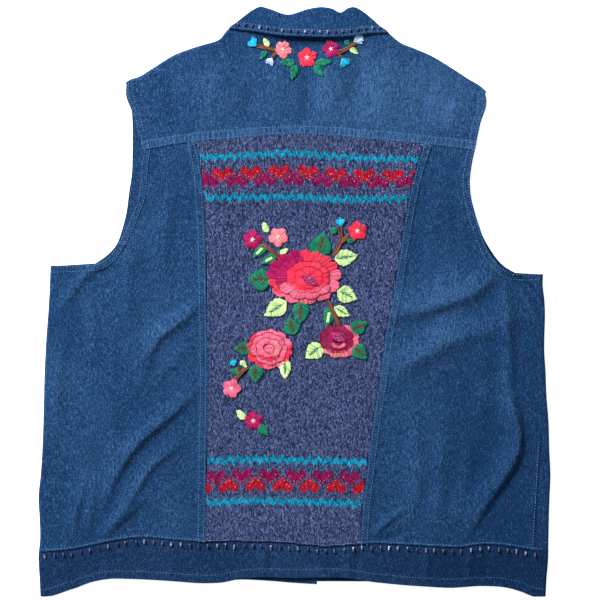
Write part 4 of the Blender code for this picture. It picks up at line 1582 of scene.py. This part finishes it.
def knit_places(width, row_height):
    """Wale, row and place of each stitch that lies inside the centre back."""
    wales, rows = np.meshgrid(np.arange(*KNIT_WALES), np.arange(KNIT_ROWS), indexing="ij")
    wales, rows = wales.ravel(), rows.ravel()
    level = KNIT_FOOT + rows * row_height
    x = wale_x(wales, level, width)
    y = level - row_sag(x, level)
    inside = x > line_at(PRINCESS["left"], y, 1) + KNIT_EDGE
    inside &= x < line_at(PRINCESS["right"], y, 1) - KNIT_EDGE
    inside &= y > line_at(BAND_SEAM["back"], x, 0) + KNIT_EDGE
    inside &= y < line_at(YOKE_SEAM, x, 0) - KNIT_TOP_EDGE
    return wales[inside], rows[inside], np.stack([x, y], axis=1)[inside]


def charted(wales, rows, band, row_height):
    """Which stitches a band of the chart colours."""
    chart, middle, first, repeat, way_up, _ = band
    tall, wide = len(chart), len(chart[0])
    marks = np.array([[letter == "#" for letter in line] for line in chart])
    middle_row = round((middle - KNIT_FOOT) / row_height)
    down = tall // 2 - way_up * (rows - middle_row)
    across = (wales - first + wide // 2) % repeat
    in_chart = (down >= 0) & (down < tall) & (across < wide)
    result = np.zeros(len(rows), bool)
    result[in_chart] = marks[down[in_chart], across[in_chart]]
    return result


def knit_tones(wales, rows, row_height, settings, palette, draw):
    """Marled yarn, dark and light by chance, with the charted bands."""
    share = draw.beta(*MARL_CHANCES, len(rows))[:, None]
    dark, light = np.array(settings.yarn_dark), np.array(settings.yarn_light)
    tones = with_alpha(dark + (light - dark) * share)
    for band in KNIT_BANDS:
        marked = charted(wales, rows, band, row_height)
        tones[marked, :3] = palette[band[-1]] * draw.uniform(*CHARTED_TONES, (marked.sum(), 1))
        tones[marked, 3] = PLAIN_YARN
    return tones


def knit_legs(knit, palette):
    """Places, turns, sizes and tones of the stitches' legs, two to a stitch."""
    width, row_height = knit.stitch_width / MM, knit.row_height / MM
    draw = np.random.default_rng(knit.seed)
    wales, rows, places = (np.repeat(column, 2, axis=0) for column in knit_places(width, row_height))
    count = len(rows)
    side = np.tile((-1.0, 1.0), count // 2)
    places[:, 0] += side * LEG_ASIDE * width
    tones = knit_tones(wales, rows, row_height, knit, palette, draw)
    places = lifted(places, back_height)
    turns = np.zeros((count, 3))
    turns[:, 2] = -side * LEG_LEAN + draw.normal(0.0, LEG_LEAN_SPREAD, count)
    sizes = np.tile((width, row_height, knit.stand / MM), (count, 1))
    sizes *= draw.uniform(*LEG_SIZES, (count, 1))
    places[:, 1] += LEG_OUT_OF_LINE * row_height * draw.uniform(-1.0, 1.0, count)
    return places, turns, sizes, tones


def closed_mesh(name, places, faces):
    """A closed mesh whose faces all point outwards."""
    data = bpy.data.meshes.new(name)
    data.from_pydata(places, [], faces)
    mesh = bmesh.new()
    mesh.from_mesh(data)
    bmesh.ops.recalc_face_normals(mesh, faces=mesh.faces)
    mesh.to_mesh(data)
    mesh.free()
    return data


def knit_leg_mesh():
    """A leg of a knit stitch, a small closed spindle."""
    sides = [(-LEG_HALF_WIDTH, 0, 0), (LEG_HALF_WIDTH, 0, 0), (0, 0, LEG_HEIGHT)]
    places = [(0, -LEG_HALF_LENGTH, 0), *sides, (0, LEG_HALF_LENGTH, 0)]
    faces = []
    for one, other in ((1, 2), (2, 3), (3, 1)):
        faces.append((0, other, one))
        faces.append((4, one, other))
    return closed_mesh("knit_leg", places, faces)


def bead_mesh(name, section):
    """A bead turned round the x axis from its section, with a hole."""
    angles = np.arange(BEAD_SIDES) * math.tau / BEAD_SIDES
    places = [(x, r * math.cos(a), r * math.sin(a)) for a in angles for x, r in section]
    count = len(section)
    faces = []
    for side in range(BEAD_SIDES):
        here, there = side * count, (side + 1) % BEAD_SIDES * count
        for corner in range(count):
            after = (corner + 1) % count
            faces.append((here + corner, here + after, there + after, there + corner))
    return closed_mesh(name, places, faces)


def offset_line(line, distance):
    """A line moved sideways, to the left of its way."""
    return line + left_of(line) * distance


def collar_fall(parts, inset):
    """Places on the collar's fall, an inset in from its free edge."""
    _, edge, turn, _, radius, low = collar_lines(parts)
    step = np.maximum(1 - inset / np.linalg.norm(turn - edge, axis=1), FALL_STARTS)
    return at_height(*fall_row(edge, turn, radius, low, parts, step))


def stitch_line(name, distance):
    """A line beside a seam, without what would hang over the vest's sides."""
    line = offset_line(seam_line(name), distance)
    return line[np.abs(line[:, 0]) < SEWN_HALF_WIDTH]


def topstitch_runs(lift):
    runs = []
    for panel, name, distances in TOPSTITCHING:
        for distance in distances:
            run = surface(panel, stitch_line(name, distance))
            run[:, 2] += lift - SUNK_ROWS.get(name, 0.0)
            runs.append(run)
    return runs


def underside_runs(lift):
    runs = []
    for name, distances in UNDERSIDE_STITCHING:
        for distance in distances:
            line = stitch_line(name, distance)
            height = np.zeros(len(line)) if name.startswith("leaf") else floor_height(line)
            runs.append(at_height(line, height - lift))
    return runs


def shade(colour, draw, spread=TONE_SPREAD):
    """A colour made lighter or darker by chance."""
    return np.clip(colour * draw.uniform(1 - spread, 1 + spread), 0.0, 1.0)


def half_width(run, width):
    """Half a width, as a step to the left of a run."""
    return np.array([-run[1], run[0]]) / np.linalg.norm(run) * width / 2


def leaf_width(part):
    """Share of a leaf's half width at a part of its length."""
    return math.sin(math.pi * part**LEAF_FULLNESS)


def heading(degrees):
    return np.array([math.cos(math.radians(degrees)), math.sin(math.radians(degrees))])


class Needlework:
    """Collects an embroidery's threads, each with its places, lifts, colour and share of thickness."""

    def __init__(self, settings, palette):
        self.pitch = settings.pitch / MM
        self.arch = settings.arch / MM
        self.palette = palette
        self.draw = np.random.default_rng(settings.seed)
        self.threads = []

    def satin(self, start, end, colour, lift=0.0):
        """A stitch that arches over the ground to a ragged end. A long one is worked as two."""
        start, end = np.asarray(start, float), np.asarray(end, float)
        length = np.linalg.norm(end - start)
        end = end + (end - start) / length * self.draw.uniform(*RAGGED_ENDS)
        tone = shade(self.palette[colour], self.draw, SATIN_SPREAD)
        lift += self.draw.uniform(0.0, UNEVEN_LIFT)
        if length > LONG_STITCH:
            split = start + (end - start) * self.draw.uniform(*SPLIT_WITHIN)
            overlap = (end - start) * SPLIT_OVERLAP
            self.lay(start, split + overlap, tone, lift)
            self.lay(split - overlap, end, shade(tone, self.draw), lift + SPLIT_LIFT)
        else:
            self.lay(start, end, tone, lift)

    def lay(self, start, end, tone, lift, share=1.0):
        arch = np.array(STITCH_ARCH)
        way = np.linspace(0.0, 1.0, len(arch))[:, None]
        self.threads.append((start + (end - start) * way, lift + arch * self.arch, tone, share))

    def line(self, places, colour, lift, share):
        """Thin stitches end to end along some places."""
        for start, end in zip(places[:-1], places[1:]):
            self.lay(start, end, shade(self.palette[colour], self.draw), lift, share)

    def flower(self, x, y, radius, turn, colour):
        centre = np.array([x, y])
        for petal in range(PETALS):
            middle = turn + 360.0 / PETALS * petal
            for across in np.linspace(-1.0, 1.0, PETAL_THREADS):
                way = heading(middle + across * 180.0 / PETALS * PETAL_SPREAD)
                reach = radius * (1 - PETAL_NOTCH * across**2)
                self.satin(centre + way * radius * PETAL_STARTS, centre + way * reach, colour)
            ray = np.array([centre, centre + heading(middle) * radius * STAR_REACH])
            self.line(ray, "star", VEIN_LIFT, STAR_SHARE)

    def leaf(self, base_x, base_y, tip_x, tip_y, width, colour, vein):
        base, tip = np.array([base_x, base_y]), np.array([tip_x, tip_y])
        run = tip - base
        aside = half_width(run, width)
        count = int(np.linalg.norm(run) / self.pitch * LEAF_CLOSENESS)
        for step in (np.arange(count) + 0.5) / count:
            out = min(1.0, step + LEAF_SLANT * (1 - step))
            for side in (-1, 1):
                rim = base + run * out + aside * side * leaf_width(out)
                self.satin(base + run * step * LEAF_RIB, rim, colour)
        if (colour, vein) in VEIN_KINDS:
            self.veins(base, run, aside, vein, *VEIN_KINDS[colour, vein])

    def veins(self, base, run, aside, colour, share, reach, strands):
        """A leaf's rib, and its side veins where they reach out."""
        first, last = RIB_WITH_VEINS if reach else RIB_ALONE
        for apart in (np.arange(strands) - (strands - 1) / 2) * RIB_APART:
            rib = np.linspace(base + run * first, base + run * last, RIB_POINTS) + aside * apart
            self.line(rib, colour, VEIN_LIFT, share)
        for step in VEINS if reach else ():
            out = min(1.0, step + 2 * LEAF_SLANT)
            for side in (-1, 1):
                tip = base + run * out + aside * side * leaf_width(out) * reach
                self.line(np.array([base + run * step, tip]), colour, VEIN_LIFT, share)

    def stem(self, start_x, start_y, middle_x, middle_y, end_x, end_y, width):
        """A stem of stitches that lie along it, side by side."""
        rows = np.array([[start_x, start_y], [middle_x, middle_y], [end_x, end_y]])
        strands = max(2, round(width / self.pitch))
        for strand in range(strands):
            aside = (strand - (strands - 1) / 2) * width / strands
            line = offset_line(along(rows, STEM_POINTS), aside)
            for first in range(strand % 2, STEM_POINTS - 2, STEM_STEP):
                last = min(first + STEM_STITCH, STEM_POINTS - 1)
                self.satin(line[first], line[last], "stem", LAYER_LIFT)

    def bud(self, x, y, size, turn, lobes, colour):
        foot = np.array([x, y])
        count = int(size * math.radians(2 * BUD_SPREAD) * BUD_CLOSENESS / self.pitch) + 2
        for across in np.linspace(-1.0, 1.0, count):
            wave = abs(math.sin(math.pi * lobes * (across + 1) / 2))
            reach = size * (1 - BUD_NOTCH * (1 - wave))
            self.satin(foot, foot + heading(turn + across * BUD_SPREAD) * reach, colour)

    def rose(self, x, y, wide, tall, layers):
        """Layers of petals, the inner ones edged with a thin dark line."""
        half = np.array([wide, tall])
        for order, (shift_x, shift_y, start, end, inner, outer, scallops, colour) in enumerate(layers):
            centre = np.array([x + shift_x, y + shift_y])
            lift = order * LAYER_LIFT
            arc = math.radians(end - start) * outer * (wide + tall) / 2
            rim = []
            for part in np.linspace(0.0, 1.0, int(arc / self.pitch)):
                wave = abs(math.sin(math.pi * scallops * part)) ** SCALLOP_ROUNDNESS
                reach = outer * (1 - SCALLOP_DEPTH * (1 - wave))
                way = heading(start + (end - start) * part) * half
                self.satin(centre + way * inner, centre + way * reach, colour, lift)
                rim.append(centre + way * reach)
            if outer < EDGED_WITHIN:
                self.line(np.array(rim), "edge", lift + EDGE_LIFT, EDGE_SHARE)

    def middle(self, start_x, start_y, end_x, end_y, width, colour):
        """A dark lens of stitches across a rose's middle."""
        start, end = np.array([start_x, start_y]), np.array([end_x, end_y])
        run = end - start
        aside = half_width(run, width)
        for part in np.linspace(*MIDDLE_WITHIN, int(np.linalg.norm(run) / self.pitch)):
            out = aside * math.sin(math.pi * part)
            self.satin(start + run * part - out, start + run * part + out, colour, MIDDLE_LIFT)

    def piece(self, name, ground, radius, sides, material):
        """Lays all the threads on a ground and gives them their thickness."""
        places, lifts, tones, shares = (np.array(column) for column in zip(*self.threads))
        points = places.shape[1]
        piece = runs_piece(name, at_height(places, ground(places) + lifts))
        add_values(piece.data, "tone", "FLOAT_COLOR", with_alpha(np.repeat(tones, points, axis=0)))
        add_values(piece.data, "thick", "FLOAT", np.repeat(shares, points) * radius)
        run_tree(piece, thread_tree(), {"Sides": sides, "Material": material})
        return piece


def knit_ground(points):
    return back_height(points) + KNIT_STAND


def yoke_ground(points):
    return surface("back_yoke", points)[..., 2]


def work_motifs(work, stems, leaves, buds, flowers):
    for row in stems:
        work.stem(*row)
    for row in leaves:
        work.leaf(*row)
    for row in buds:
        work.bud(*row)
    for row in flowers:
        work.flower(*row)


def long_beads(beads, draw, glass):
    """Beads below the band's seam, across it, and smaller ones along the collar's edge."""
    stray_x, stray_y = (draw.normal(0.0, stray, BAND_BEADS) for stray in BEAD_STRAY)
    x = np.linspace(BAND_BEADS_FROM, BAND_BEADS_TO, BAND_BEADS) + stray_x
    y = line_at(BAND_SEAM["back"], x, 0) - BAND_BEAD_DROP + stray_y
    on_band = surface("back_band", np.stack([x, y], axis=1))
    on_band[:, 2] += beads.bugle_radius / MM
    parts = np.linspace(*COLLAR_BEADS_PART, COLLAR_BEADS)
    on_collar = collar_fall(parts, COLLAR_BEAD_INSET)
    on_collar[:, 2] += beads.bugle_radius / MM
    count = BAND_BEADS + COLLAR_BEADS
    turns = np.zeros((count, 3))
    turns[:, 2] = math.pi / 2 + draw.normal(0.0, BEAD_LEAN, count)
    turns[BAND_BEADS:, 2] += COLLAR_BEAD_TURN
    size = np.array([beads.bugle_length, beads.bugle_radius, beads.bugle_radius]) / MM
    sizes = np.tile(size, (count, 1))
    sizes[BAND_BEADS:] *= COLLAR_BEAD_SHARE
    kinds = np.array([beads.mauve, beads.silver, beads.violet, beads.midnight])
    tones = kinds[draw.choice(len(kinds), count, p=BEAD_CHANCES)]
    places = np.concatenate([on_band, on_collar])
    return scatter("long_beads", bead_mesh("bugle", BUGLE_SECTION), places, turns, sizes, tones, glass)


def heart_bead_places(knit):
    """Places of the round beads on the knitted hearts."""
    places = []
    width = knit.stitch_width / MM
    for chart, middle, first, repeat, way_up, _ in KNIT_BANDS:
        if chart is not HEART:
            continue
        for wale in range(first, KNIT_WALES[1], repeat):
            x = wale_x(wale, middle, width)
            y = middle - row_sag(x, middle)
            left, right = (line_at(PRINCESS[side], y, 1) for side in SIGN)
            if left + PANEL_BEADS_INSIDE < x < right - PANEL_BEADS_INSIDE:
                places.extend((x + spot_x, y + spot_y * way_up) for spot_x, spot_y in HEART_BEAD_SPOTS)
    return places


def round_beads(beads, knit, draw, glass):
    places = heart_bead_places(knit)
    hearts = len(places)
    for start_x, start_y, end_x, end_y, _, _, wide, tall, turn, count in ROSE_MIDDLES:
        middle = np.array([start_x + end_x, start_y + end_y]) / 2
        along_way, across_way = heading(turn) * wide, heading(turn + 90) * tall
        for bead in range(count):
            way = heading(bead * GOLDEN_ANGLE) * math.sqrt((bead + 0.5) / count)
            places.append(middle + along_way * way[0] + across_way * way[1])
    places = np.array(places)
    places[:hearts] += draw.normal(0.0, HEART_BEAD_STRAY, (hearts, 2))
    places = lifted(places, knit_ground)
    places[hearts:, 2] += ROSE_BEAD_LIFT
    count = len(places)
    turns = draw.uniform(0.0, math.pi, (count, 3))
    sizes = np.full((count, 3), beads.seed_radius / MM)
    tones = np.array(beads.pearl) * draw.uniform(*PEARL_TONES, (count, 1))
    tones = np.clip(tones, 0.0, 1.0)
    return scatter("round_beads", bead_mesh("seed", SEED_SECTION), places, turns, sizes, tones, glass)


def lay_floor(settings):
    half = FLOOR_HALF
    drop = -settings.floor_drop
    data = bpy.data.meshes.new("floor")
    corners = [(-half, -half, drop), (half, -half, drop), (half, half, drop), (-half, half, drop)]
    data.from_pydata(corners, [], [(0, 1, 2, 3)])
    material, _, shader, _ = new_material("floor")
    shader.inputs["Base Color"].default_value = (*settings.floor, 1.0)
    shader.inputs["Emission Color"].default_value = (1.0, 1.0, 1.0, 1.0)
    shader.inputs["Emission Strength"].default_value = settings.floor_glow
    set_finish(shader, FLOOR_FINISH)
    data.materials.append(material)
    new_object("floor", data)


def light_stage(scene, settings):
    """A large soft light from the upper left of the picture, and an even sky."""
    lamp = bpy.data.lights.new("key", "AREA")
    lamp.shape = "DISK"
    lamp.size = KEY_SIZE
    lamp.energy = settings.key_power
    key = new_object("key", lamp)
    key.location = KEY_PLACE
    key.rotation_euler = (-Vector(KEY_PLACE)).to_track_quat("-Z", "Y").to_euler()
    world = bpy.data.worlds.new("studio")
    world.use_nodes = True
    sky = world.node_tree.nodes["Background"]
    sky.inputs["Color"].default_value = (1.0, 1.0, 1.0, 1.0)
    sky.inputs["Strength"].default_value = settings.sky
    scene.world = world
    scene.view_settings.view_transform = "Standard"


def aim_camera(scene, settings):
    """A camera that looks straight down."""
    lens = bpy.data.cameras.new("camera")
    lens.lens = settings.lens
    lens.sensor_width = SENSOR_WIDTH
    camera = new_object("camera", lens)
    camera.location = (settings.centre_x, settings.centre_y, settings.camera_height)
    scene.camera = camera


def length_setting(name, description, default):
    return bpy.props.FloatProperty(
        name=name, description=description, default=default, min=0.0, precision=5, unit="LENGTH"
    )


def colour_setting(name, description, default):
    return bpy.props.FloatVectorProperty(
        name=name, description=description, default=default, size=3, min=0.0, max=1.0, subtype="COLOR"
    )


class VestClothSettings(bpy.types.PropertyGroup):
    """Colours of the denim, and of the band's denim, which is darker as painted shade."""

    deep: colour_setting("Deep Denim", "Denim in the dips of its weave", (0.004, 0.018, 0.063))
    plain: colour_setting("Denim", "Denim as it mostly looks", (0.0095, 0.041, 0.119))
    worn: colour_setting("Worn Denim", "Denim where it is rubbed pale", (0.055, 0.14, 0.30))
    # The band's denim: the body's, darker, as painted shade at the vest's lower edge
    band_deep: colour_setting("Deep Band", "Band denim in the dips of its weave", (0.003, 0.012, 0.043))
    band_plain: colour_setting("Band", "Band denim as it mostly looks", (0.007, 0.028, 0.085))
    band_worn: colour_setting("Worn Band", "Band denim where it is rubbed pale", (0.036, 0.093, 0.21))


class VestKnitSettings(bpy.types.PropertyGroup):
    """Sizes and yarn of the knitted panel."""

    stitch_width: length_setting("Stitch Width", "From one wale to the next", 0.00284)
    row_height: length_setting("Row Height", "From one row to the next", 0.00217)
    stand: length_setting("Stand", "How thick a stitch is above the ground", 0.0022)
    yarn_dark: colour_setting("Dark Ply", "Darker ply of the marled yarn", (0.0195, 0.0325, 0.1))
    yarn_light: colour_setting("Light Ply", "Paler ply of the marled yarn", (0.185, 0.243, 0.485))
    seed: bpy.props.IntProperty(name="Seed", description="Chance in the marled yarn", default=7)


class VestSewingSettings(bpy.types.PropertyGroup):
    """Topstitching."""

    stitch_length: length_setting("Stitch Length", "Length of one stitch", 0.0028)
    gap: length_setting("Gap", "Gap from one stitch to the next", 0.0007)
    thickness: length_setting("Thickness", "Thickness of the thread", 0.0009)
    unevenness: bpy.props.FloatProperty(
        name="Unevenness", description="How much stitches differ in size", default=0.25, subtype="FACTOR"
    )
    thread: colour_setting("Thread", "Colour of the thread", (0.11, 0.225, 0.41))
    seed: bpy.props.IntProperty(name="Seed", description="Chance in the stitches' sizes", default=3)


class VestBeadSettings(bpy.types.PropertyGroup):
    """Glass beads."""

    bugle_length: length_setting("Bugle Length", "Length of a long bead", 0.0052)
    bugle_radius: length_setting("Bugle Radius", "Radius of a long bead", 0.0012)
    seed_radius: length_setting("Seed Radius", "Radius of a round bead", 0.00065)
    mauve: colour_setting("Mauve", "One of the long beads' colours", (0.06, 0.032, 0.056))
    silver: colour_setting("Silver", "One of the long beads' colours", (0.19, 0.165, 0.22))
    violet: colour_setting("Violet", "One of the long beads' colours", (0.07, 0.03, 0.12))
    midnight: colour_setting("Midnight", "One of the long beads' colours", (0.025, 0.022, 0.06))
    pearl: colour_setting("Pearl", "Colour of the round beads", (0.75, 0.5, 0.62))
    seed: bpy.props.IntProperty(name="Seed", description="Chance in the beads' turns", default=11)


class VestThreadColours(bpy.types.PropertyGroup):
    """Colours of the knitted and embroidered motifs."""

    red: colour_setting("Red", "Red petals", (0.9, 0.035, 0.085))
    pink: colour_setting("Pink", "Pink petals", (0.95, 0.16, 0.27))
    coral: colour_setting("Coral", "Coral petals", (0.98, 0.24, 0.29))
    magenta: colour_setting("Magenta", "Magenta petals", (0.42, 0.006, 0.105))
    plum: colour_setting("Plum", "Dark magenta petals", (0.29, 0.008, 0.07))
    star: colour_setting("Star", "Pale middles of the flowers", (0.95, 0.72, 0.62))
    leaf: colour_setting("Leaf", "Green leaves", (0.004, 0.2, 0.11))
    lime: colour_setting("Lime", "Pale green leaves", (0.62, 0.86, 0.37))
    stem: colour_setting("Stem", "Stems", (0.19, 0.065, 0.035))
    vein: colour_setting("Vein", "Veins of the green leaves", (0.1, 0.05, 0.02))
    turquoise: colour_setting("Turquoise", "Buds and zigzags", (0.012, 0.45, 0.69))
    white: colour_setting("White", "White buds", (0.5, 0.67, 0.93))
    edge: colour_setting("Edge", "Thin dark lines between petals", (0.16, 0.004, 0.03))
    heart_red: colour_setting("Heart Red", "Red knitted hearts", (0.68, 0.017, 0.042))
    heart_magenta: colour_setting("Heart Magenta", "Magenta knitted hearts", (0.41, 0.012, 0.13))


class VestEmbroiderySettings(bpy.types.PropertyGroup):
    """How the embroidery is worked."""

    pitch: length_setting("Pitch", "From one thread to the next", 0.0015)
    thread_radius: length_setting("Thread Radius", "Half the thickness of the thread", 0.0009)
    arch: length_setting("Arch", "How high a stitch stands at its middle", 0.0005)
    sides: bpy.props.IntProperty(name="Sides", description="Sides of a thread", default=5, min=3)
    seed: bpy.props.IntProperty(name="Seed", description="Chance in the threads' tones", default=5)


class VestStageSettings(bpy.types.PropertyGroup):
    """Camera, floor and light."""

    camera_height: length_setting("Camera Height", "Camera above the floor", 2.408)
    centre_x: length_setting("Centre X", "Middle of the picture", 0.0066)
    centre_y: length_setting("Centre Y", "Middle of the picture", 0.0018)
    lens: bpy.props.FloatProperty(name="Lens", description="Focal length", default=120.0, unit="CAMERA")
    floor: colour_setting("Floor", "Colour of the floor", (0.93, 0.93, 0.93))
    floor_drop: length_setting("Floor Drop", "Room for the sewing under the vest", 0.0006)
    floor_glow: bpy.props.FloatProperty(
        name="Floor Glow", description="The floor's own light, as on a light table", default=0.8, min=0.0
    )
    key_power: bpy.props.FloatProperty(name="Key", description="Main light", default=330.0, unit="POWER")
    sky: bpy.props.FloatProperty(name="Sky", description="Light from all round", default=0.3, min=0.0)


class VestSettings(bpy.types.PropertyGroup):
    """All settings of the vest."""

    cloth: bpy.props.PointerProperty(type=VestClothSettings)
    knit: bpy.props.PointerProperty(type=VestKnitSettings)
    sewing: bpy.props.PointerProperty(type=VestSewingSettings)
    beads: bpy.props.PointerProperty(type=VestBeadSettings)
    colours: bpy.props.PointerProperty(type=VestThreadColours)
    embroidery: bpy.props.PointerProperty(type=VestEmbroiderySettings)
    stage: bpy.props.PointerProperty(type=VestStageSettings)


def palette_of(colours):
    """Thread colours by name, as arrays."""
    return {name: np.array(getattr(colours, name)) for name in VestThreadColours.__annotations__}


def denim_of(settings):
    return denim_material("denim", settings.deep, settings.plain, settings.worn)


def band_denim_of(settings):
    # The band's denim, darker as painted shade
    return denim_material("band_denim", settings.band_deep, settings.band_plain, settings.band_worn)


class VEST_OT_back(bpy.types.Operator):
    """Build the yoke, the side backs and the ground of the knitted panel"""

    bl_idname = "vest.back"
    bl_label = "Back"

    def execute(self, context):
        vest = context.scene.vest
        denim = denim_of(vest.cloth)
        cloth("back_yoke", raised("back_yoke", back_yoke()), DENIM_WALL, 1, denim)
        for side in SIGN:
            node = f"back_side_{side}"
            cloth(node, raised(node, back_side(side)), DENIM_WALL, 1, denim)
        ground = knit_ground_material(vest.knit.yarn_dark)
        cloth("back_centre", back_centre(), KNIT_WALL, 1, ground)
        return {"FINISHED"}


class VEST_OT_fronts(bpy.types.Operator):
    """Build the two fronts"""

    bl_idname = "vest.fronts"
    bl_label = "Fronts"

    def execute(self, context):
        denim = denim_of(context.scene.vest.cloth)
        for side in SIGN:
            cloth(f"front_{side}", front(side), DENIM_WALL, -1, denim)
        return {"FINISHED"}


class VEST_OT_bands(bpy.types.Operator):
    """Build the waistband of the back and of the fronts"""

    bl_idname = "vest.bands"
    bl_label = "Bands"

    def execute(self, context):
        denim = band_denim_of(context.scene.vest.cloth)
        cloth("back_band", raised("back_band", back_band()), BAND_WALL, 1, denim)
        for side in SIGN:
            cloth(f"front_band_{side}", front_band(side), FRONT_BAND_WALL, -1, denim)
        return {"FINISHED"}


class VEST_OT_collar(bpy.types.Operator):
    """Build the collar and its ends"""

    bl_idname = "vest.collar"
    bl_label = "Collar"

    def execute(self, context):
        denim = denim_of(context.scene.vest.cloth)
        cloth("collar", collar(), COLLAR_WALL, -1, denim)
        for side in SIGN:
            cloth(f"collar_leaf_{side}", collar_leaf(side), LEAF_WALL, -1, denim)
        return {"FINISHED"}


class VEST_OT_knit(bpy.types.Operator):
    """Knit the centre back, stitch by stitch"""

    bl_idname = "vest.knit"
    bl_label = "Knit"

    def execute(self, context):
        vest = context.scene.vest
        legs = knit_legs(vest.knit, palette_of(vest.colours))
        yarn = toned_material("yarn", MARL_GRAINS, MARL_CONTRAST, YARN_FINISH)
        level = legs[0][:, 1]
        upper = level > level.mean()
        for name, part in (("knit_upper", upper), ("knit_lower", ~upper)):
            piece = scatter(name, knit_leg_mesh(), *(column[part] for column in legs), yarn, smooth=True)
            declare_trim(piece)
        return {"FINISHED"}


class VEST_OT_sewing(bpy.types.Operator):
    """Sew the rows of topstitching"""

    bl_idname = "vest.sewing"
    bl_label = "Sewing"

    def execute(self, context):
        sewing = context.scene.vest.sewing
        lift = sewing.thickness / MM * SEWN_LIFT
        runs = topstitch_runs(lift)
        parts = np.linspace(*COLLAR_SEWN, COLLAR_COLUMNS)
        for inset in COLLAR_ROWS:
            runs.append(collar_fall(parts, inset) + (0.0, 0.0, lift))
        thread = thread_material(sewing.thread)
        for name, some in (("topstitching", runs), ("underside_stitching", underside_runs(lift))):
            piece = runs_piece(name, some)
            values = {
                "Stitch Length": sewing.stitch_length,
                "Gap": sewing.gap,
                "Thickness": sewing.thickness,
                "Unevenness": sewing.unevenness,
                "Seed": sewing.seed,
                "Material": thread,
            }
            run_tree(piece, sewing_tree(), values)
            declare_trim(piece)
        return {"FINISHED"}


class VEST_OT_beads(bpy.types.Operator):
    """Sew on the long beads of band and collar and the round beads of hearts and roses"""

    bl_idname = "vest.beads"
    bl_label = "Beads"

    def execute(self, context):
        vest = context.scene.vest
        beads = vest.beads
        draw = np.random.default_rng(beads.seed)
        glass = toned_material("glass_beads", BEAD_GRAINS, GLASS_CONTRAST, GLASS_FINISH)
        # The long beads' glints are painted: strong light and dark spots in their colour
        painted_glints = toned_material("glinting_beads", PAINTED_GLINT_GRAINS, PAINTED_GLINT_CONTRAST, GLASS_FINISH)
        declare_trim(long_beads(beads, draw, painted_glints))
        declare_trim(round_beads(beads, vest.knit, draw, glass))
        return {"FINISHED"}


class VEST_OT_embroidery(bpy.types.Operator):
    """Embroider the spray on the knit and the garland on the yoke"""

    bl_idname = "vest.embroidery"
    bl_label = "Embroidery"

    def execute(self, context):
        vest = context.scene.vest
        palette = palette_of(vest.colours)
        silk = toned_material("embroidery_thread", SILK_GRAINS, SILK_CONTRAST, SILK_FINISH)
        spray = Needlework(vest.embroidery, palette)
        work_motifs(spray, SPRAY_STEMS, SPRAY_LEAVES, SPRAY_BUDS, SPRAY_FLOWERS)
        for x, y, wide, tall, layers in ROSES:
            spray.rose(x, y, wide, tall, layers)
        for row in ROSE_MIDDLES:
            spray.middle(*row[:6])
        garland = Needlework(vest.embroidery, palette)
        work_motifs(garland, GARLAND_STEMS, GARLAND_LEAVES, GARLAND_BUDS, GARLAND_FLOWERS)
        works = (("spray", spray, knit_ground), ("garland", garland, yoke_ground))
        for name, work, ground in works:
            radius, sides = vest.embroidery.thread_radius, vest.embroidery.sides
            piece = work.piece(f"embroidered_{name}", ground, radius, sides, silk)
            declare_trim(piece)
        return {"FINISHED"}


class VEST_OT_stage(bpy.types.Operator):
    """Set up the floor, the light and the camera"""

    bl_idname = "vest.stage"
    bl_label = "Stage"

    def execute(self, context):
        settings = context.scene.vest.stage
        lay_floor(settings)
        light_stage(context.scene, settings)
        aim_camera(context.scene, settings)
        return {"FINISHED"}


class VEST_PT_tools(bpy.types.Panel):
    """Lists the steps that build the vest"""

    bl_idname = "VEST_PT_tools"
    bl_label = "Vest"
    bl_space_type = "VIEW_3D"
    bl_region_type = "UI"
    bl_category = "Vest"

    def draw(self, context):
        for step in STEPS:
            self.layout.operator(step.bl_idname)


STEPS = (
    VEST_OT_back,
    VEST_OT_fronts,
    VEST_OT_bands,
    VEST_OT_collar,
    VEST_OT_knit,
    VEST_OT_sewing,
    VEST_OT_beads,
    VEST_OT_embroidery,
    VEST_OT_stage,
)
CLASSES = (
    VestClothSettings,
    VestKnitSettings,
    VestSewingSettings,
    VestBeadSettings,
    VestThreadColours,
    VestEmbroiderySettings,
    VestStageSettings,
    VestSettings,
    *STEPS,
    VEST_PT_tools,
)


def register():
    for item in CLASSES:
        bpy.utils.register_class(item)
    bpy.types.Scene.vest = bpy.props.PointerProperty(type=VestSettings)


def unregister():
    del bpy.types.Scene.vest
    for item in reversed(CLASSES):
        bpy.utils.unregister_class(item)


def main():
    register()
    bpy.ops.vest.back()
    bpy.ops.vest.fronts()
    bpy.ops.vest.bands()
    bpy.ops.vest.collar()
    bpy.ops.vest.knit()
    bpy.ops.vest.sewing()
    bpy.ops.vest.beads()
    bpy.ops.vest.embroidery()
    bpy.ops.vest.stage()


if __name__ == "__main__":
    main()
